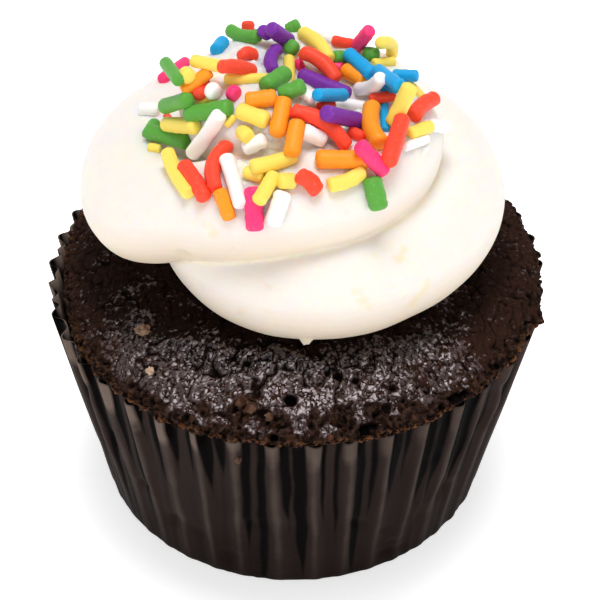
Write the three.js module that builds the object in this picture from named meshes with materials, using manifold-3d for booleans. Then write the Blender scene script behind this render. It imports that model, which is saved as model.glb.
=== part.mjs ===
// A chocolate cupcake: a pleated paper case, the domed cake baked in it, and a piped swirl of
// frosting strewn with sugar strands. Millimetres, +Z up, the origin in the middle of the foot,
// and the front of the cupcake towards -Y. Angles run anticlockwise from +X, seen from above.
import * as THREE from "three";
import { LoftGeometry } from "three/addons/geometries/LoftGeometry.js";
import { ImprovedNoise } from "three/addons/math/ImprovedNoise.js";
import { mergeVertices } from "three/addons/utils/BufferGeometryUtils.js";
import Module from "manifold-3d";

const { clamp, degToRad, lerp, seededRandom } = THREE.MathUtils;
const FULL_TURN = 2 * Math.PI;
const GAP = 0.3; // left between pieces that touch

// The paper case, a standard baking cup.
const CASE_HEIGHT = 31.8;
const FOOT_RADIUS = 24.7;
const FOOT_ROUNDING = 1.5;
const RIM_RADIUS = 31.4; // to the middle of the pleats
const PAPER = 0.35;
const PLEATS = 40;
const PLEAT_DEPTH_AT_FOOT = 0.35; // from the outer to the inner fold
const PLEAT_DEPTH_AT_RIM = 1.2;
const PLEAT_FOLDS = [[0, 1], [0.24, 1], [0.5, -1], [0.74, -1]]; // place in the pleat, out or in
const PLEAT_SHIFT = 0.41; // turns the pleats, as a share of one
const PLEAT_UNEVENNESS = 0.12; // of their depth and place

// The cake, whose dome rises out of the case.
const DOME_RISE = 7.2;
const DOME_POWER = 2.4; // higher is flatter in the middle
const CRUST_RADIUS = 31.2; // of the crust's edge, on average
const CRUST_DRIFT = 0.85; // how much further out it stands on the drift side, and less opposite
const CRUST_DRIFT_SIDE = degToRad(-62);
const CRUST_LIP = 1.1; // height of the crust's rounded edge
const CRUST_FOOT = CASE_HEIGHT + GAP; // where that edge starts, just above the paper
const COVERED_SHARE = 0.7; // how far out the frosting covers the dome
const CRUST_RELIEF = 0.45;
const CRUST_GRAIN = 3.2; // size of the crust's bumps
const CAKE_COLUMNS = 72;
// Lumps of crust at the edge, and where it drew back from the paper: angle in degrees, how far
// each stands out, half width in degrees.
const EDGE_LUMPS = [[-17, 0.9, 3], [-62, 0.35, 5], [-118, 0.3, 6], [96, 0.5, 6], [-169, -1.3, 24]];

// The frosting: one round rope, piped in a rising spiral.
const ROPE_SIDES = 12;
const ROPE_STEP = degToRad(12);
// Stations along the spiral: angle in degrees, radius and height of the rope's middle line, and
// half the rope's width and height.
const SPIRAL = [
  [200, 11.0, 43.5, 6.7, 6.3],
  [270, 15.0, 44.5, 7.6, 7.2],
  [315, 17.0, 45.0, 7.8, 7.4],
  [360, 18.8, 45.0, 8.0, 7.4],
  [450, 18.0, 45.0, 7.8, 7.2],
  [540, 18.6, 47.2, 8.2, 7.5],
  [565, 17.9, 49.0, 8.2, 7.5],
  [590, 14.8, 53.0, 7.7, 6.9],
  [630, 12.3, 55.0, 7.2, 6.6],
  [720, 11.4, 55.4, 7.2, 6.4],
  [810, 8.4, 56.6, 6.8, 6.3],
  [900, 7.5, 58.9, 6.6, 6.2],
  [990, 5.0, 59.5, 6.0, 5.9],
];
const CORE_RADIUS = 14;
const CORE_SHOULDER = 44;
const CORE_TOP = 60;

// The sugar strands on top of the frosting.
const STRANDS = 70;
const STRAND_RADIUS = 0.95;
const STRAND_LENGTH = [3.6, 7.0]; // shortest and longest
const STRANDS_REACH = 17.8; // how far from the middle they lie
const STRANDS_HEAPING = 0.62; // 0.5 strews them evenly, and more heaps them in the middle
const STRANDS_SEED = 8;
const STRAND_SUNK = 0.35; // how deep they sit in the frosting or in the strands under them
const STRAND_TOUCHES = [-0.45, -0.25, 0, 0.25, 0.45]; // where along itself a strand can touch
const ABOVE_ALL = 30; // higher over the frosting than any strand

const noise = new ImprovedNoise();
const wasm = await Module();
wasm.setup();

// A closed geometry as a solid that can be joined and cut.
function toSolid(geometry) {
  const bare = new THREE.BufferGeometry();
  bare.setAttribute("position", geometry.getAttribute("position"));
  bare.setIndex(geometry.getIndex());
  const merged = mergeVertices(bare, 1e-4);
  return new wasm.Manifold(
    new wasm.Mesh({
      numProp: 3,
      vertProperties: merged.getAttribute("position").array,
      triVerts: new Uint32Array(merged.getIndex().array),
    }),
  );
}

// A solid as a geometry again.
function toGeometry(solid) {
  const { vertProperties, triVerts } = solid.getMesh();
  const geometry = new THREE.BufferGeometry();
  geometry.setAttribute("position", new THREE.BufferAttribute(vertProperties, 3));
  geometry.setIndex(new THREE.BufferAttribute(triVerts, 1));
  geometry.computeVertexNormals();
  return geometry;
}

// The largest body of a solid, without the hollows and loose scraps that joining can leave.
function outerBody(solid) {
  const bodies = solid.decompose();
  return bodies.reduce((largest, body) => (body.volume() > largest.volume() ? body : largest));
}

// A closed solid through rings of points, with a flat cap at each end.
function loft(rings) {
  return new LoftGeometry(rings, { capStart: true, capEnd: true });
}

function polar(angle, radius, height) {
  return new THREE.Vector3(Math.cos(angle) * radius, Math.sin(angle) * radius, height);
}

// ---- The paper case ----

// The wall's radius to the middle of the pleats, for a height.
function wallRadius(height) {
  const straight = lerp(FOOT_RADIUS, RIM_RADIUS, height / CASE_HEIGHT);
  const below = clamp(FOOT_ROUNDING - height, 0, FOOT_ROUNDING);
  return straight - (FOOT_ROUNDING - Math.sqrt(FOOT_ROUNDING ** 2 - below ** 2));
}

function pleatDepth(height) {
  return lerp(PLEAT_DEPTH_AT_FOOT, PLEAT_DEPTH_AT_RIM, height / CASE_HEIGHT);
}

// A number near 0 that differs from pleat to pleat.
function unevenness(pleat) {
  return PLEAT_UNEVENNESS * (Math.sin(1.7 * pleat) + Math.sin(2.9 * pleat + 1));
}

// One pleated ring of the wall at a height, moved inwards by inset.
function pleatedRing(height, inset) {
  const wallHeight = Math.min(height, CASE_HEIGHT);
  const middle = wallRadius(wallHeight) - inset;
  const half = pleatDepth(wallHeight) / 2;
  const points = [];
  for (let pleat = 0; pleat < PLEATS; pleat += 1) {
    for (const [place, side] of PLEAT_FOLDS) {
      const uneven = unevenness(pleat + 1) * (side > 0 ? 1 : 0);
      const angle = ((pleat + place + PLEAT_SHIFT + uneven / 2) / PLEATS) * FULL_TURN;
      points.push(polar(angle, middle + half * (side + uneven), height));
    }
  }
  return points;
}

function makeCase() {
  const outerHeights = [0, 0.45, FOOT_ROUNDING, 12, 22, CASE_HEIGHT];
  const innerHeights = [PAPER, FOOT_ROUNDING + PAPER, 16, CASE_HEIGHT, CASE_HEIGHT + 1];
  const outside = loft(outerHeights.map((height) => pleatedRing(height, 0)));
  const inside = loft(innerHeights.map((height) => pleatedRing(height, PAPER)));
  return toGeometry(toSolid(outside).subtract(toSolid(inside)));
}

// ---- The cake ----

// How far the crust's edge is from the axis, at an angle.
function crustRadius(angle) {
  let radius = CRUST_RADIUS + CRUST_DRIFT * Math.cos(angle - CRUST_DRIFT_SIDE);
  for (const [degrees, height, halfWidth] of EDGE_LUMPS) {
    const turn = Math.cos(angle - degToRad(degrees));
    const spread = Math.acos(clamp(turn, -1, 1)) / degToRad(halfWidth);
    radius += height * Math.exp(-spread * spread);
  }
  return radius;
}

// The crust's relief at a place, which fades out where the paper holds the cake.
function crustRelief(point) {
  const { x, y, z } = point.clone().divideScalar(CRUST_GRAIN);
  const coarse = noise.noise(x, y, z + 0.5);
  const fine = noise.noise(2 * x, 2 * y, 2 * z + 7.5) / 2;
  return CRUST_RELIEF * (coarse + fine);
}

// Height of the dome above the lip, for a share of the way out to the edge.
function domeRise(share) {
  return DOME_RISE * (1 - share ** DOME_POWER);
}

function cakeRing(place) {
  return Array.from({ length: CAKE_COLUMNS }, (_, column) => place((column / CAKE_COLUMNS) * FULL_TURN));
}

// The cake's side, held clear of the paper by the gap.
function cakeSide() {
  const clearance = PAPER + GAP;
  const heights = [clearance, FOOT_ROUNDING + clearance, 16, CASE_HEIGHT + GAP];
  return heights.map((height) => {
    const wallHeight = Math.min(height, CASE_HEIGHT);
    const radius = wallRadius(wallHeight) - pleatDepth(wallHeight) / 2 - clearance;
    return cakeRing((angle) => polar(angle, radius, height));
  });
}

// The crust's edge: out over the paper, round, and back on to the dome.
function crustEdge() {
  const corners = [[-0.5, 0], [0, 0.3], [0, 0.75], [-0.6, 1]]; // out in mm, share of the lip up
  return corners.map(([out, up]) =>
    cakeRing((angle) => {
      const point = polar(angle, crustRadius(angle) + out, CRUST_FOOT + up * CRUST_LIP);
      const relief = up > 0 ? crustRelief(point) : 0;
      return point.add(polar(angle, relief, Math.max(relief, 0)));
    }),
  );
}

// The dome, whose relief stops where the frosting covers it.
function crustDome() {
  const shares = [0.93, 0.87, 0.81, 0.75, 0.69, 0.56, 0.38, 0.12]; // of the way out to the edge
  return shares.map((share) =>
    cakeRing((angle) => {
      const height = CRUST_FOOT + CRUST_LIP + domeRise(share);
      const point = polar(angle, crustRadius(angle) * share, height);
      point.z += share > COVERED_SHARE ? crustRelief(point) : 0;
      return point;
    }),
  );
}

function makeCake() {
  return loft([...cakeSide(), ...crustEdge(), ...crustDome()]);
}

// ---- The frosting ----

// The rope at a number of turns along the spiral: its middle, half width and half height.
function ropeStation(angle) {
  const angles = SPIRAL.map(([degrees]) => degToRad(degrees));
  const last = SPIRAL.length - 1;
  let index = angles.findIndex((next) => next > angle) - 1;
  if (index < 0) index = last - 1;
  const share = (angle - angles[index]) / (angles[index + 1] - angles[index]);
  return [1, 2, 3, 4].map((value) => {
    const at = (i) => SPIRAL[clamp(i, 0, last)][value];
    const [a, b, c, d] = [at(index - 1), at(index), at(index + 1), at(index + 2)];
    const bend = (2 * a - 5 * b + 4 * c - d) * share ** 2 + (3 * b - a - 3 * c + d) * share ** 3;
    return b + ((c - a) * share + bend) / 2;
  });
}

// One section of the rope, upright and square to the spiral; size shrinks it for the round ends.
function ropeSection(angle, size, ahead) {
  const [radius, height, halfWidth, halfHeight] = ropeStation(angle);
  const points = [];
  for (let side = 0; side < ROPE_SIDES; side += 1) {
    const around = (side / ROPE_SIDES) * FULL_TURN;
    const out = radius - Math.cos(around) * halfWidth * size;
    const point = polar(angle, out, height + Math.sin(around) * halfHeight * size);
    points.push(point.add(polar(angle + Math.PI / 2, ahead, 0)));
  }
  return points;
}

function makeRope() {
  const start = degToRad(SPIRAL[0][0]);
  const end = degToRad(SPIRAL.at(-1)[0]);
  const steps = Math.round((end - start) / ROPE_STEP);
  const sections = [];
  const bluntness = [0.35, 0.75, 0.95];
  for (const size of bluntness) {
    const ahead = -SPIRAL[0][3] * Math.sqrt(1 - size ** 2);
    sections.push(ropeSection(start, size, ahead));
  }
  for (let step = 0; step <= steps; step += 1) {
    sections.push(ropeSection(lerp(start, end, step / steps), 1, 0));
  }
  for (const size of bluntness.reverse()) {
    const ahead = SPIRAL.at(-1)[3] * Math.sqrt(1 - size ** 2);
    sections.push(ropeSection(end, size, ahead));
  }
  return loft(sections);
}

// The frosting inside the spiral.
function makeCore() {
  const profile = [
    [0, 34],
    [CORE_RADIUS, 35],
    [CORE_RADIUS + 2, CORE_SHOULDER],
    [CORE_RADIUS - 3, lerp(CORE_SHOULDER, CORE_TOP, 0.7)],
    [CORE_RADIUS / 2, CORE_TOP],
    [0, CORE_TOP + 3],
  ];
  const points = profile.map(([radius, height]) => new THREE.Vector2(radius, height));
  return new THREE.LatheGeometry(points, 16).rotateX(Math.PI / 2);
}

// One sugar strand along X: a short round stick with blunt ends.
function makeStrand(length) {
  const ends = [[-0.5, 0.6], [-0.4, 1], [0.4, 1], [0.5, 0.6]];
  const sides = 5;
  const rings = ends.map(([place, size]) =>
    Array.from({ length: sides }, (_, side) => {
      const around = (side / sides) * FULL_TURN;
      const radius = STRAND_RADIUS * size;
      return new THREE.Vector3(place * length, radius * Math.cos(around), radius * Math.sin(around));
    }),
  );
  return loft(rings);
}

// How high the middle of a strand comes to rest, and its slope. Each touch is a place along the
// strand, 0 in the middle, and the height of what lies under it there.
function restOn(touches) {
  let height = -Infinity;
  let slope = 0;
  for (const [back, heightBack] of touches.filter(([place]) => place < 0)) {
    for (const [ahead, heightAhead] of touches.filter(([place]) => place > 0)) {
      const rate = (heightAhead - heightBack) / (ahead - back);
      if (heightBack - rate * back > height) {
        height = heightBack - rate * back;
        slope = rate;
      }
    }
  }
  const [, heightMiddle] = touches.find(([place]) => place === 0);
  return [Math.max(height, heightMiddle), slope];
}

// Strands strewn over the top: a sunflower spread, closer in the middle, each resting on the
// frosting or on the strands that lay there before.
function addStrands(frosting) {
  const swirl = new THREE.Mesh(toGeometry(frosting));
  const lying = [swirl];
  const caster = new THREE.Raycaster();
  const goldenAngle = Math.PI * (3 - Math.sqrt(5));
  seededRandom(STRANDS_SEED);
  let joined = frosting;
  for (let index = 0; index < STRANDS; index += 1) {
    const angle = index * goldenAngle;
    const radius = STRANDS_REACH * ((index + 0.5) / STRANDS) ** STRANDS_HEAPING;
    const length = lerp(...STRAND_LENGTH, seededRandom());
    const heading = seededRandom() * FULL_TURN;
    caster.set(polar(angle, radius, 100), new THREE.Vector3(0, 0, -1));
    const [hit] = caster.intersectObject(swirl);
    const up = hit.face.normal;
    const along = new THREE.Vector3(Math.cos(heading), Math.sin(heading), 0);
    along.projectOnPlane(up).normalize();
    const touches = STRAND_TOUCHES.map((share) => {
      const place = share * length;
      const above = hit.point.clone().addScaledVector(along, place).addScaledVector(up, ABOVE_ALL);
      caster.set(above, up.clone().negate());
      const [under] = caster.intersectObjects(lying);
      return [place, under ? ABOVE_ALL - under.distance : -ABOVE_ALL];
    });
    const [height, slope] = restOn(touches);
    const middle = hit.point.clone().addScaledVector(up, height + STRAND_RADIUS - STRAND_SUNK);
    along.addScaledVector(up, slope).normalize();
    const across = new THREE.Vector3().crossVectors(up, along).normalize();
    const top = new THREE.Vector3().crossVectors(along, across);
    const pose = new THREE.Matrix4().makeBasis(along, across, top).setPosition(middle);
    const strand = makeStrand(length).applyMatrix4(pose);
    lying.push(new THREE.Mesh(strand));
    joined = joined.add(toSolid(strand));
  }
  return joined;
}

function makeFrosting() {
  const swirl = outerBody(toSolid(makeRope()).add(toSolid(makeCore())));
  const raisedCake = toSolid(makeCake().translate(0, 0, GAP));
  return toGeometry(outerBody(addStrands(swirl).subtract(raisedCake)));
}

// ---- The whole ----

function addPiece(group, name, geometry, color, roughness) {
  const material = new THREE.MeshStandardMaterial({ color, roughness, metalness: 0 });
  const mesh = new THREE.Mesh(geometry, material);
  mesh.name = name;
  group.add(mesh);
}

const cupcake = new THREE.Group();
addPiece(cupcake, "paper_case", makeCase(), 0x2a211d, 0.55);
addPiece(cupcake, "cake", makeCake(), 0x3a2620, 0.5);
addPiece(cupcake, "frosting", makeFrosting(), 0xfbf3e8, 0.45);

export default cupcake;
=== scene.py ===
# %% [markdown]
# # A chocolate cupcake
# A cupcake is four things: a pleated paper case, the cake that rose out of it, a piped swirl of
# frosting, and sugar strands strewn on top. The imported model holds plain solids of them, in metres
# with +Z up and the front towards -Y. Every step below makes the fine surface of one of them from
# the same sizes as its solid, so that it lies in the same place, and then says which solid it
# stands for.

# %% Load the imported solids
import math
import random

import bpy
import numpy as np
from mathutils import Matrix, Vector, noise
from mathutils.bvhtree import BVHTree


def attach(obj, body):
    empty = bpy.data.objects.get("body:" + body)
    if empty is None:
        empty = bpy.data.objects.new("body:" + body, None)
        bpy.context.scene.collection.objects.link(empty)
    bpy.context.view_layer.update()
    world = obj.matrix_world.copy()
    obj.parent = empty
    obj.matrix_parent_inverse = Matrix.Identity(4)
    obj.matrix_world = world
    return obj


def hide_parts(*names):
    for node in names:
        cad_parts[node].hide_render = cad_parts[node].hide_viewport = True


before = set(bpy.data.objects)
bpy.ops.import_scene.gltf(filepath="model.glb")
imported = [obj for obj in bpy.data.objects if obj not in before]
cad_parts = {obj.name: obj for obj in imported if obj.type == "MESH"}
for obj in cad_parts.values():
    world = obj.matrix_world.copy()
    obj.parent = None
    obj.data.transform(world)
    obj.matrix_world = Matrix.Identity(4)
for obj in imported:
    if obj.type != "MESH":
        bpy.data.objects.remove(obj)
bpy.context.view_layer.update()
MM = 0.001
FULL_TURN = 2 * math.pi

# %% [markdown]
# ## The camera
# Food is often shot from above one shoulder through a long lens, which keeps the case's sides
# nearly straight. Here the camera stands on the front side, 42 degrees up. Its three directions
# are kept as vectors, because the strands are strewn later by where they lie in its frame.

# %% Place the camera
FRAME_PIXELS = 600
SENSOR_WIDTH = 36.0
LENS = 203.4
FOCAL_PIXELS = LENS / SENSOR_WIDTH * FRAME_PIXELS
CAMERA_ELEVATION = math.radians(42)
CAMERA_DISTANCE = 440 * MM
CAMERA_TARGET = Vector((0.863, 0, 27.41)) * MM

camera_forward = Vector((0, math.cos(CAMERA_ELEVATION), -math.sin(CAMERA_ELEVATION)))
camera_up = Vector((0, math.sin(CAMERA_ELEVATION), math.cos(CAMERA_ELEVATION)))
camera_right = Vector((1, 0, 0))
eye = CAMERA_TARGET - CAMERA_DISTANCE * camera_forward

camera = bpy.data.objects.new("camera", bpy.data.cameras.new("camera"))
camera.data.lens = LENS
camera.data.sensor_width = SENSOR_WIDTH
camera.location = eye
camera.rotation_euler = camera_forward.to_track_quat("-Z", "Y").to_euler()
bpy.context.scene.collection.objects.link(camera)
bpy.context.scene.camera = camera


def ray_through(x, y):
    """Direction of the camera's ray through a place in its frame, in pixels from the top left."""
    across = (x - FRAME_PIXELS / 2) / FOCAL_PIXELS
    down = (y - FRAME_PIXELS / 2) / FOCAL_PIXELS
    return (camera_forward + across * camera_right - down * camera_up).normalized()


print("camera at", [round(c / MM) for c in eye], "mm")

# %% [markdown]
# ## Writing nodes as sums
# Lights and materials in Blender are nets of nodes. The class below wraps one output of such a
# net, so that `1 - mask` or `mask * 0.5` adds the Math node it needs and gives back the new
# output. Colours are mixed by a Mix node, because a Math node would turn them grey.


# %% A small class for node outputs
class Wire:
    """One output in a net of nodes, which can be used in sums."""

    def __init__(self, tree, socket=None):
        self.tree = tree
        self.socket = socket

    def node(self, kind, settings=None, inputs=None, output=0):
        """Adds a node, makes its settings, then fills or links its inputs."""
        made = self.tree.nodes.new("ShaderNode" + kind)
        for name, value in (settings or {}).items():
            setattr(made, name, value)
        for name, value in (inputs or {}).items():
            if isinstance(value, Wire):
                self.tree.links.new(value.socket, made.inputs[name])
            else:
                made.inputs[name].default_value = value
        return Wire(self.tree, made.outputs[output])

    def maths(self, operation, first, second):
        """Adds a Math node, which works on numbers."""
        return self.node("Math", {"operation": operation}, {0: first, 1: second})

    def __add__(self, other):
        return self.maths("ADD", self, other)

    def __radd__(self, other):
        return self.maths("ADD", other, self)

    def __sub__(self, other):
        return self.maths("SUBTRACT", self, other)

    def __rsub__(self, other):
        return self.maths("SUBTRACT", other, self)

    def __mul__(self, other):
        return self.maths("MULTIPLY", self, other)

    def __rmul__(self, other):
        return self.maths("MULTIPLY", other, self)

    def size(self):
        """How far the value is from 0."""
        return self.maths("ABSOLUTE", self, 0.0)

    def between(self, low, high):
        """0 below low, 1 above high, and a straight slope between them."""
        limits = {"Value": self, "From Min": low, "From Max": high}
        return self.node("MapRange", {"clamp": True}, limits)

    def blend(self, first, second):
        """The first colour where this output is 0, the second where it is 1."""
        colours = {0: self, 6: first, 7: second}
        return self.node("Mix", {"data_type": "RGBA"}, colours, output=2)


print("ready to write nodes")

# %% [markdown]
# ## Light and floor
# White walls all round light the cupcake evenly. The world stands in for them: it is white at the
# height of the cupcake and greyer overhead, because an evenly white tent would lay a grey haze
# over the dark crust. The view transform Standard keeps colours as they are given.

# %% Light from the walls
WHITE = (1, 1, 1, 1)
WALL_LIGHT = 0.9
CEILING_LIGHT = 0.08
CEILING_STARTS, CEILING_FULL = 0.2, 0.7  # how steeply a direction points up, from 0 to 1

world = bpy.data.worlds.new("walls")
world.use_nodes = True
walls = Wire(world.node_tree)
direction = walls.node("TexCoord", output="Generated")
height_of_ray = walls.node("SeparateXYZ", inputs={0: direction}, output="Z")
from_limits = {"From Min": CEILING_STARTS, "From Max": CEILING_FULL}
to_limits = {"To Min": WALL_LIGHT, "To Max": CEILING_LIGHT}
light = walls.node("MapRange", inputs={"Value": height_of_ray} | from_limits | to_limits)
background = world.node_tree.nodes["Background"]
background.inputs["Color"].default_value = WHITE
world.node_tree.links.new(light.socket, background.inputs["Strength"])
bpy.context.scene.world = world
bpy.context.scene.view_settings.view_transform = "Standard"
print("walls at", WALL_LIGHT, "and the ceiling at", CEILING_LIGHT)

# %% [markdown]
# One softbox overhead draws the gloss on the crust, and a larger one beside the camera lights the
# front. Both point at the middle of the cupcake. The larger a softbox is, the softer its shadows
# are.

# %% Place the softboxes and the floor
# Name, place in millimetres, size in millimetres and power in watts.
SOFTBOXES = (
    ("overhead", (20, 40, 890), 420, 6.2),
    ("beside_camera", (40, -950, 330), 700, 2.1),
)
FLOOR_SIZE = 3.0

for name, place, size, watts in SOFTBOXES:
    softbox = bpy.data.objects.new(name, bpy.data.lights.new(name, "AREA"))
    softbox.data.size = size * MM
    softbox.data.energy = watts
    softbox.location = Vector(place) * MM
    aim = CAMERA_TARGET - softbox.location
    softbox.rotation_euler = aim.to_track_quat("-Z", "Y").to_euler()
    bpy.context.scene.collection.objects.link(softbox)

bpy.ops.mesh.primitive_plane_add(size=FLOOR_SIZE)
floor = bpy.context.object
floor.name = "floor"
print("softboxes:", len(SOFTBOXES))

# %% [markdown]
# ## Finishes
# A finish is a material round one Principled shader. The class below holds that shader and the
# patterns that the pieces need. Grain is noise in the piece's own space, so it stays on the piece
# wherever that goes. Painted values are kept at the mesh's points and follow its relief. A bump
# is for relief too fine for points. A second shader can cover the first where a mask is 1.


# %% A class for finishes
class Finish:
    """A material round one shader. Its fixed settings are the same all over the surface."""

    def __init__(self, name, **fixed):
        self.material = bpy.data.materials.new(name)
        self.material.use_nodes = True
        self.tree = self.material.node_tree
        self.shader = self.tree.nodes["Principled BSDF"]
        self.start = Wire(self.tree)
        self.place = self.start.node("TexCoord", output="Object")
        self.fix(fixed)

    def fix(self, fixed):
        """Sets the shader's own sockets, named with _ in place of a blank."""
        for socket, value in fixed.items():
            self.shader.inputs[socket.replace("_", " ")].default_value = value

    def cover(self, mask, **fixed):
        """A second shader over the first one, shown where the mask is 1."""
        under = Wire(self.tree, self.shader.outputs["BSDF"])
        self.shader = self.tree.nodes.new("ShaderNodeBsdfPrincipled")
        self.fix(fixed)
        over = Wire(self.tree, self.shader.outputs["BSDF"])
        both = self.start.node("MixShader", inputs={0: mask, 1: under, 2: over})
        surface = self.tree.nodes["Material Output"].inputs["Surface"]
        self.tree.links.new(both.socket, surface)

    def feed(self, socket, wire):
        """Lets a pattern drive one of the shader's sockets."""
        self.tree.links.new(wire.socket, self.shader.inputs[socket])

    def grain(self, size, detail=2.0):
        """A cloudy pattern from 0 to 1 whose patches are about size across."""
        settings = {"Vector": self.place, "Scale": 0.5 / size, "Detail": detail}
        return self.start.node("TexNoise", inputs=settings)

    def along_x(self):
        """The place along X, in metres."""
        return self.start.node("SeparateXYZ", inputs={0: self.place})

    def painted(self, name):
        """A value that the mesh holds at each of its points."""
        return self.start.node("Attribute", {"attribute_name": name}, output="Fac")

    def bump(self, height, depth):
        """Small relief: a pattern from 0 to 1 that rises by depth."""
        inputs = {"Height": height, "Distance": depth, "Strength": 1.0}
        self.feed("Normal", self.start.node("Bump", inputs=inputs))


print("ready to write finishes")

# %% [markdown]
# The floor takes the first finish, the plainest one: pale and matte all over. It glows a little,
# like a lit table of milk glass, so that the shadow under the cupcake stays light.

# %% Finish the floor
floor_finish = Finish(
    "floor",
    Base_Color=(0.9, 0.9, 0.9, 1),
    Roughness=0.8,
    Emission_Color=WHITE,
    Emission_Strength=0.62,
)
floor.data.materials.append(floor_finish.material)
print("the floor is", FLOOR_SIZE, "m wide")

# %% [markdown]
# ## Adding a piece
# Most pieces here are closed rows of points, laid round the cupcake's axis or along a strand. One
# helper joins such rows with four-sided faces and puts a lid on each end. Another makes the mesh,
# and says that it goes with the body called root.


# %% Helpers for meshes
def ring_faces(rows, columns, first=0):
    """Faces between closed rows of points and a lid on each end, facing outwards if rows rise."""
    row, column = np.meshgrid(np.arange(rows - 1), np.arange(columns), indexing="ij")
    beside = (column + 1) % columns
    corners = [row * columns + column, row * columns + beside]
    corners += [(row + 1) * columns + beside, (row + 1) * columns + column]
    faces = (np.stack(corners, axis=-1).reshape(-1, 4) + first).tolist()
    last = first + (rows - 1) * columns
    faces.append(list(range(first, first + columns))[::-1])
    faces.append(list(range(last, last + columns)))
    return faces


def add_piece(name, points, faces, finish, painted=None):
    """A smooth mesh in metres. painted holds values for its points, by name."""
    mesh = bpy.data.meshes.new(name)
    mesh.from_pydata(np.asarray(points).tolist(), [], faces)
    mesh.shade_smooth()
    mesh.materials.append(finish.material)
    for label, values in (painted or {}).items():
        attribute = mesh.attributes.new(label, "FLOAT", "POINT")
        attribute.data.foreach_set("value", np.asarray(values, np.float32).ravel())
    piece = bpy.data.objects.new(name, mesh)
    bpy.context.scene.collection.objects.link(piece)
    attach(piece, "root")
    print(name, "has", len(mesh.polygons), "faces")
    return piece


def rise(values, low, high):
    """A soft step: 0 below low, 1 above high."""
    share = np.clip((values - low) / (high - low), 0, 1)
    return share * share * (3 - 2 * share)


print("ready to add pieces")

# %% [markdown]
# ## The paper case
# A baking cup is pressed from one disc of greaseproof paper, and the spare paper of its wall goes
# into pleats: an outer fold, a slanted flank, an inner fold and a flank back. It could be a cloth
# simulation, but the pleats are pressed and even, so a formula for the wall's radius at each
# angle and height is simpler and keeps the case in its solid's place.

# %% Sizes of the case
CASE_HEIGHT = 31.8 * MM
FOOT_RADIUS = 24.7 * MM
FOOT_ROUNDING = 1.5 * MM
RIM_RADIUS = 31.4 * MM
PAPER = 0.25 * MM
PLEATS = 40
PLEAT_DEPTH_AT_FOOT = 0.35 * MM
PLEAT_DEPTH_AT_RIM = 1.2 * MM
PLEAT_FOLDS = ((0, 1), (0.16, 1), (0.38, -1), (0.59, -1), (0.78, -1))
PLEAT_SHIFT = 0.41
PLEAT_UNEVENNESS = 0.12
PLEAT_SWAYS = (1.7, 2.9)  # two slow waves of unevenness, in radians a pleat
SMALL_FOLD = 0.59  # place in the valley where some pleats have a smaller fold between
SMALL_FOLD_HEIGHTS = (-0.5, 1.6)  # below 0 there is none
FOLD_JITTER = 0.07
FOLD_SEED = 11
RIM_LEAN = 0.35 * MM


def wall_radius(height):
    """Radius of the wall at the middle of the pleats."""
    straight = FOOT_RADIUS + (RIM_RADIUS - FOOT_RADIUS) * height / CASE_HEIGHT
    below = np.clip(FOOT_ROUNDING - height, 0, FOOT_ROUNDING)
    return straight - (FOOT_ROUNDING - np.sqrt(FOOT_ROUNDING**2 - below**2))


def pleat_depth(height):
    """How far the wall's folds go from their innermost to their outermost place."""
    share = height / CASE_HEIGHT
    return PLEAT_DEPTH_AT_FOOT + (PLEAT_DEPTH_AT_RIM - PLEAT_DEPTH_AT_FOOT) * share


def fold_at(turns):
    """How far in or out the paper is folded, from -1 to 1, for a place counted in pleats."""
    places, folds = [], []
    for pleat in range(PLEATS):
        sway = math.sin(PLEAT_SWAYS[0] * (pleat + 1)) + math.sin(PLEAT_SWAYS[1] * (pleat + 1) + 1)
        for place, side in PLEAT_FOLDS:
            uneven = PLEAT_UNEVENNESS * sway if side > 0 else 0
            small_fold = small_folds[pleat] if place == SMALL_FOLD else 0
            places.append(pleat + place + uneven / 2 + fold_jitter[pleat] * (place < SMALL_FOLD))
            folds.append(side + uneven + small_fold)
    return np.interp(turns, places, folds, period=PLEATS)


fold_random = np.random.default_rng(FOLD_SEED)
small_folds = np.maximum(0, fold_random.uniform(*SMALL_FOLD_HEIGHTS, PLEATS))
fold_jitter = fold_random.uniform(-FOLD_JITTER, FOLD_JITTER, PLEATS)
print("pleats are", round(FULL_TURN * RIM_RADIUS / PLEATS / MM, 2), "mm wide at the rim")

# %% [markdown]
# Baking and handling leave marks that the press didn't: folds lean on their way down, some jump
# sideways in a kink, some flatten out near the foot, and fingers leave creases across them.
# Seen from outside, each pleat is a pale ridge, then a gap that is painted in shade, a small fold
# and a second such gap, which close somewhere on their way down, where the paper lies flat on the
# cake. All of this is random, so it comes from one generator with a fixed seed, drawn from the
# ranges given here.

# %% Draw the marks of the pleats
CASE_SEED = 5
LEAN = 0.55
KINK = 0.3
KINK_HEIGHTS = (0.25 * CASE_HEIGHT, 0.8 * CASE_HEIGHT)
FLATNESS = (0.35, 0.9)  # share of a pleat's depth that is lost at the foot
GAP_PLACES = (0.36, 0.74)
GAP_WANDER = 0.05
GAP_WIDTH = 0.17  # half the width at the rim, in pleats
GAP_WIDTHS = (0.35, 1.15)
GAP_ENDS = (-0.2, 0.65)
CREASES = 34
CREASE_DEPTH = 0.55 * MM
# Range and unit of each crease's place round the case in pleats, height, width in pleats, length
# downwards, slant and depth.
CREASE_RANGES = (
    ((0, PLEATS), 1),
    ((0.12, 0.85), CASE_HEIGHT),
    ((0.15, 0.45), 1),
    ((0.8, 2.6), MM),
    ((-1.8, 1.8), MM),
    ((0.25, 1.0), CREASE_DEPTH),
)
case_random = np.random.default_rng(CASE_SEED)


def for_each_pleat(low, high):
    """A random value for each pleat, evened out a little between neighbours."""
    values = case_random.uniform(low, high, PLEATS)
    return (np.roll(values, 1) + 2 * values + np.roll(values, -1)) / 4


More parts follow.
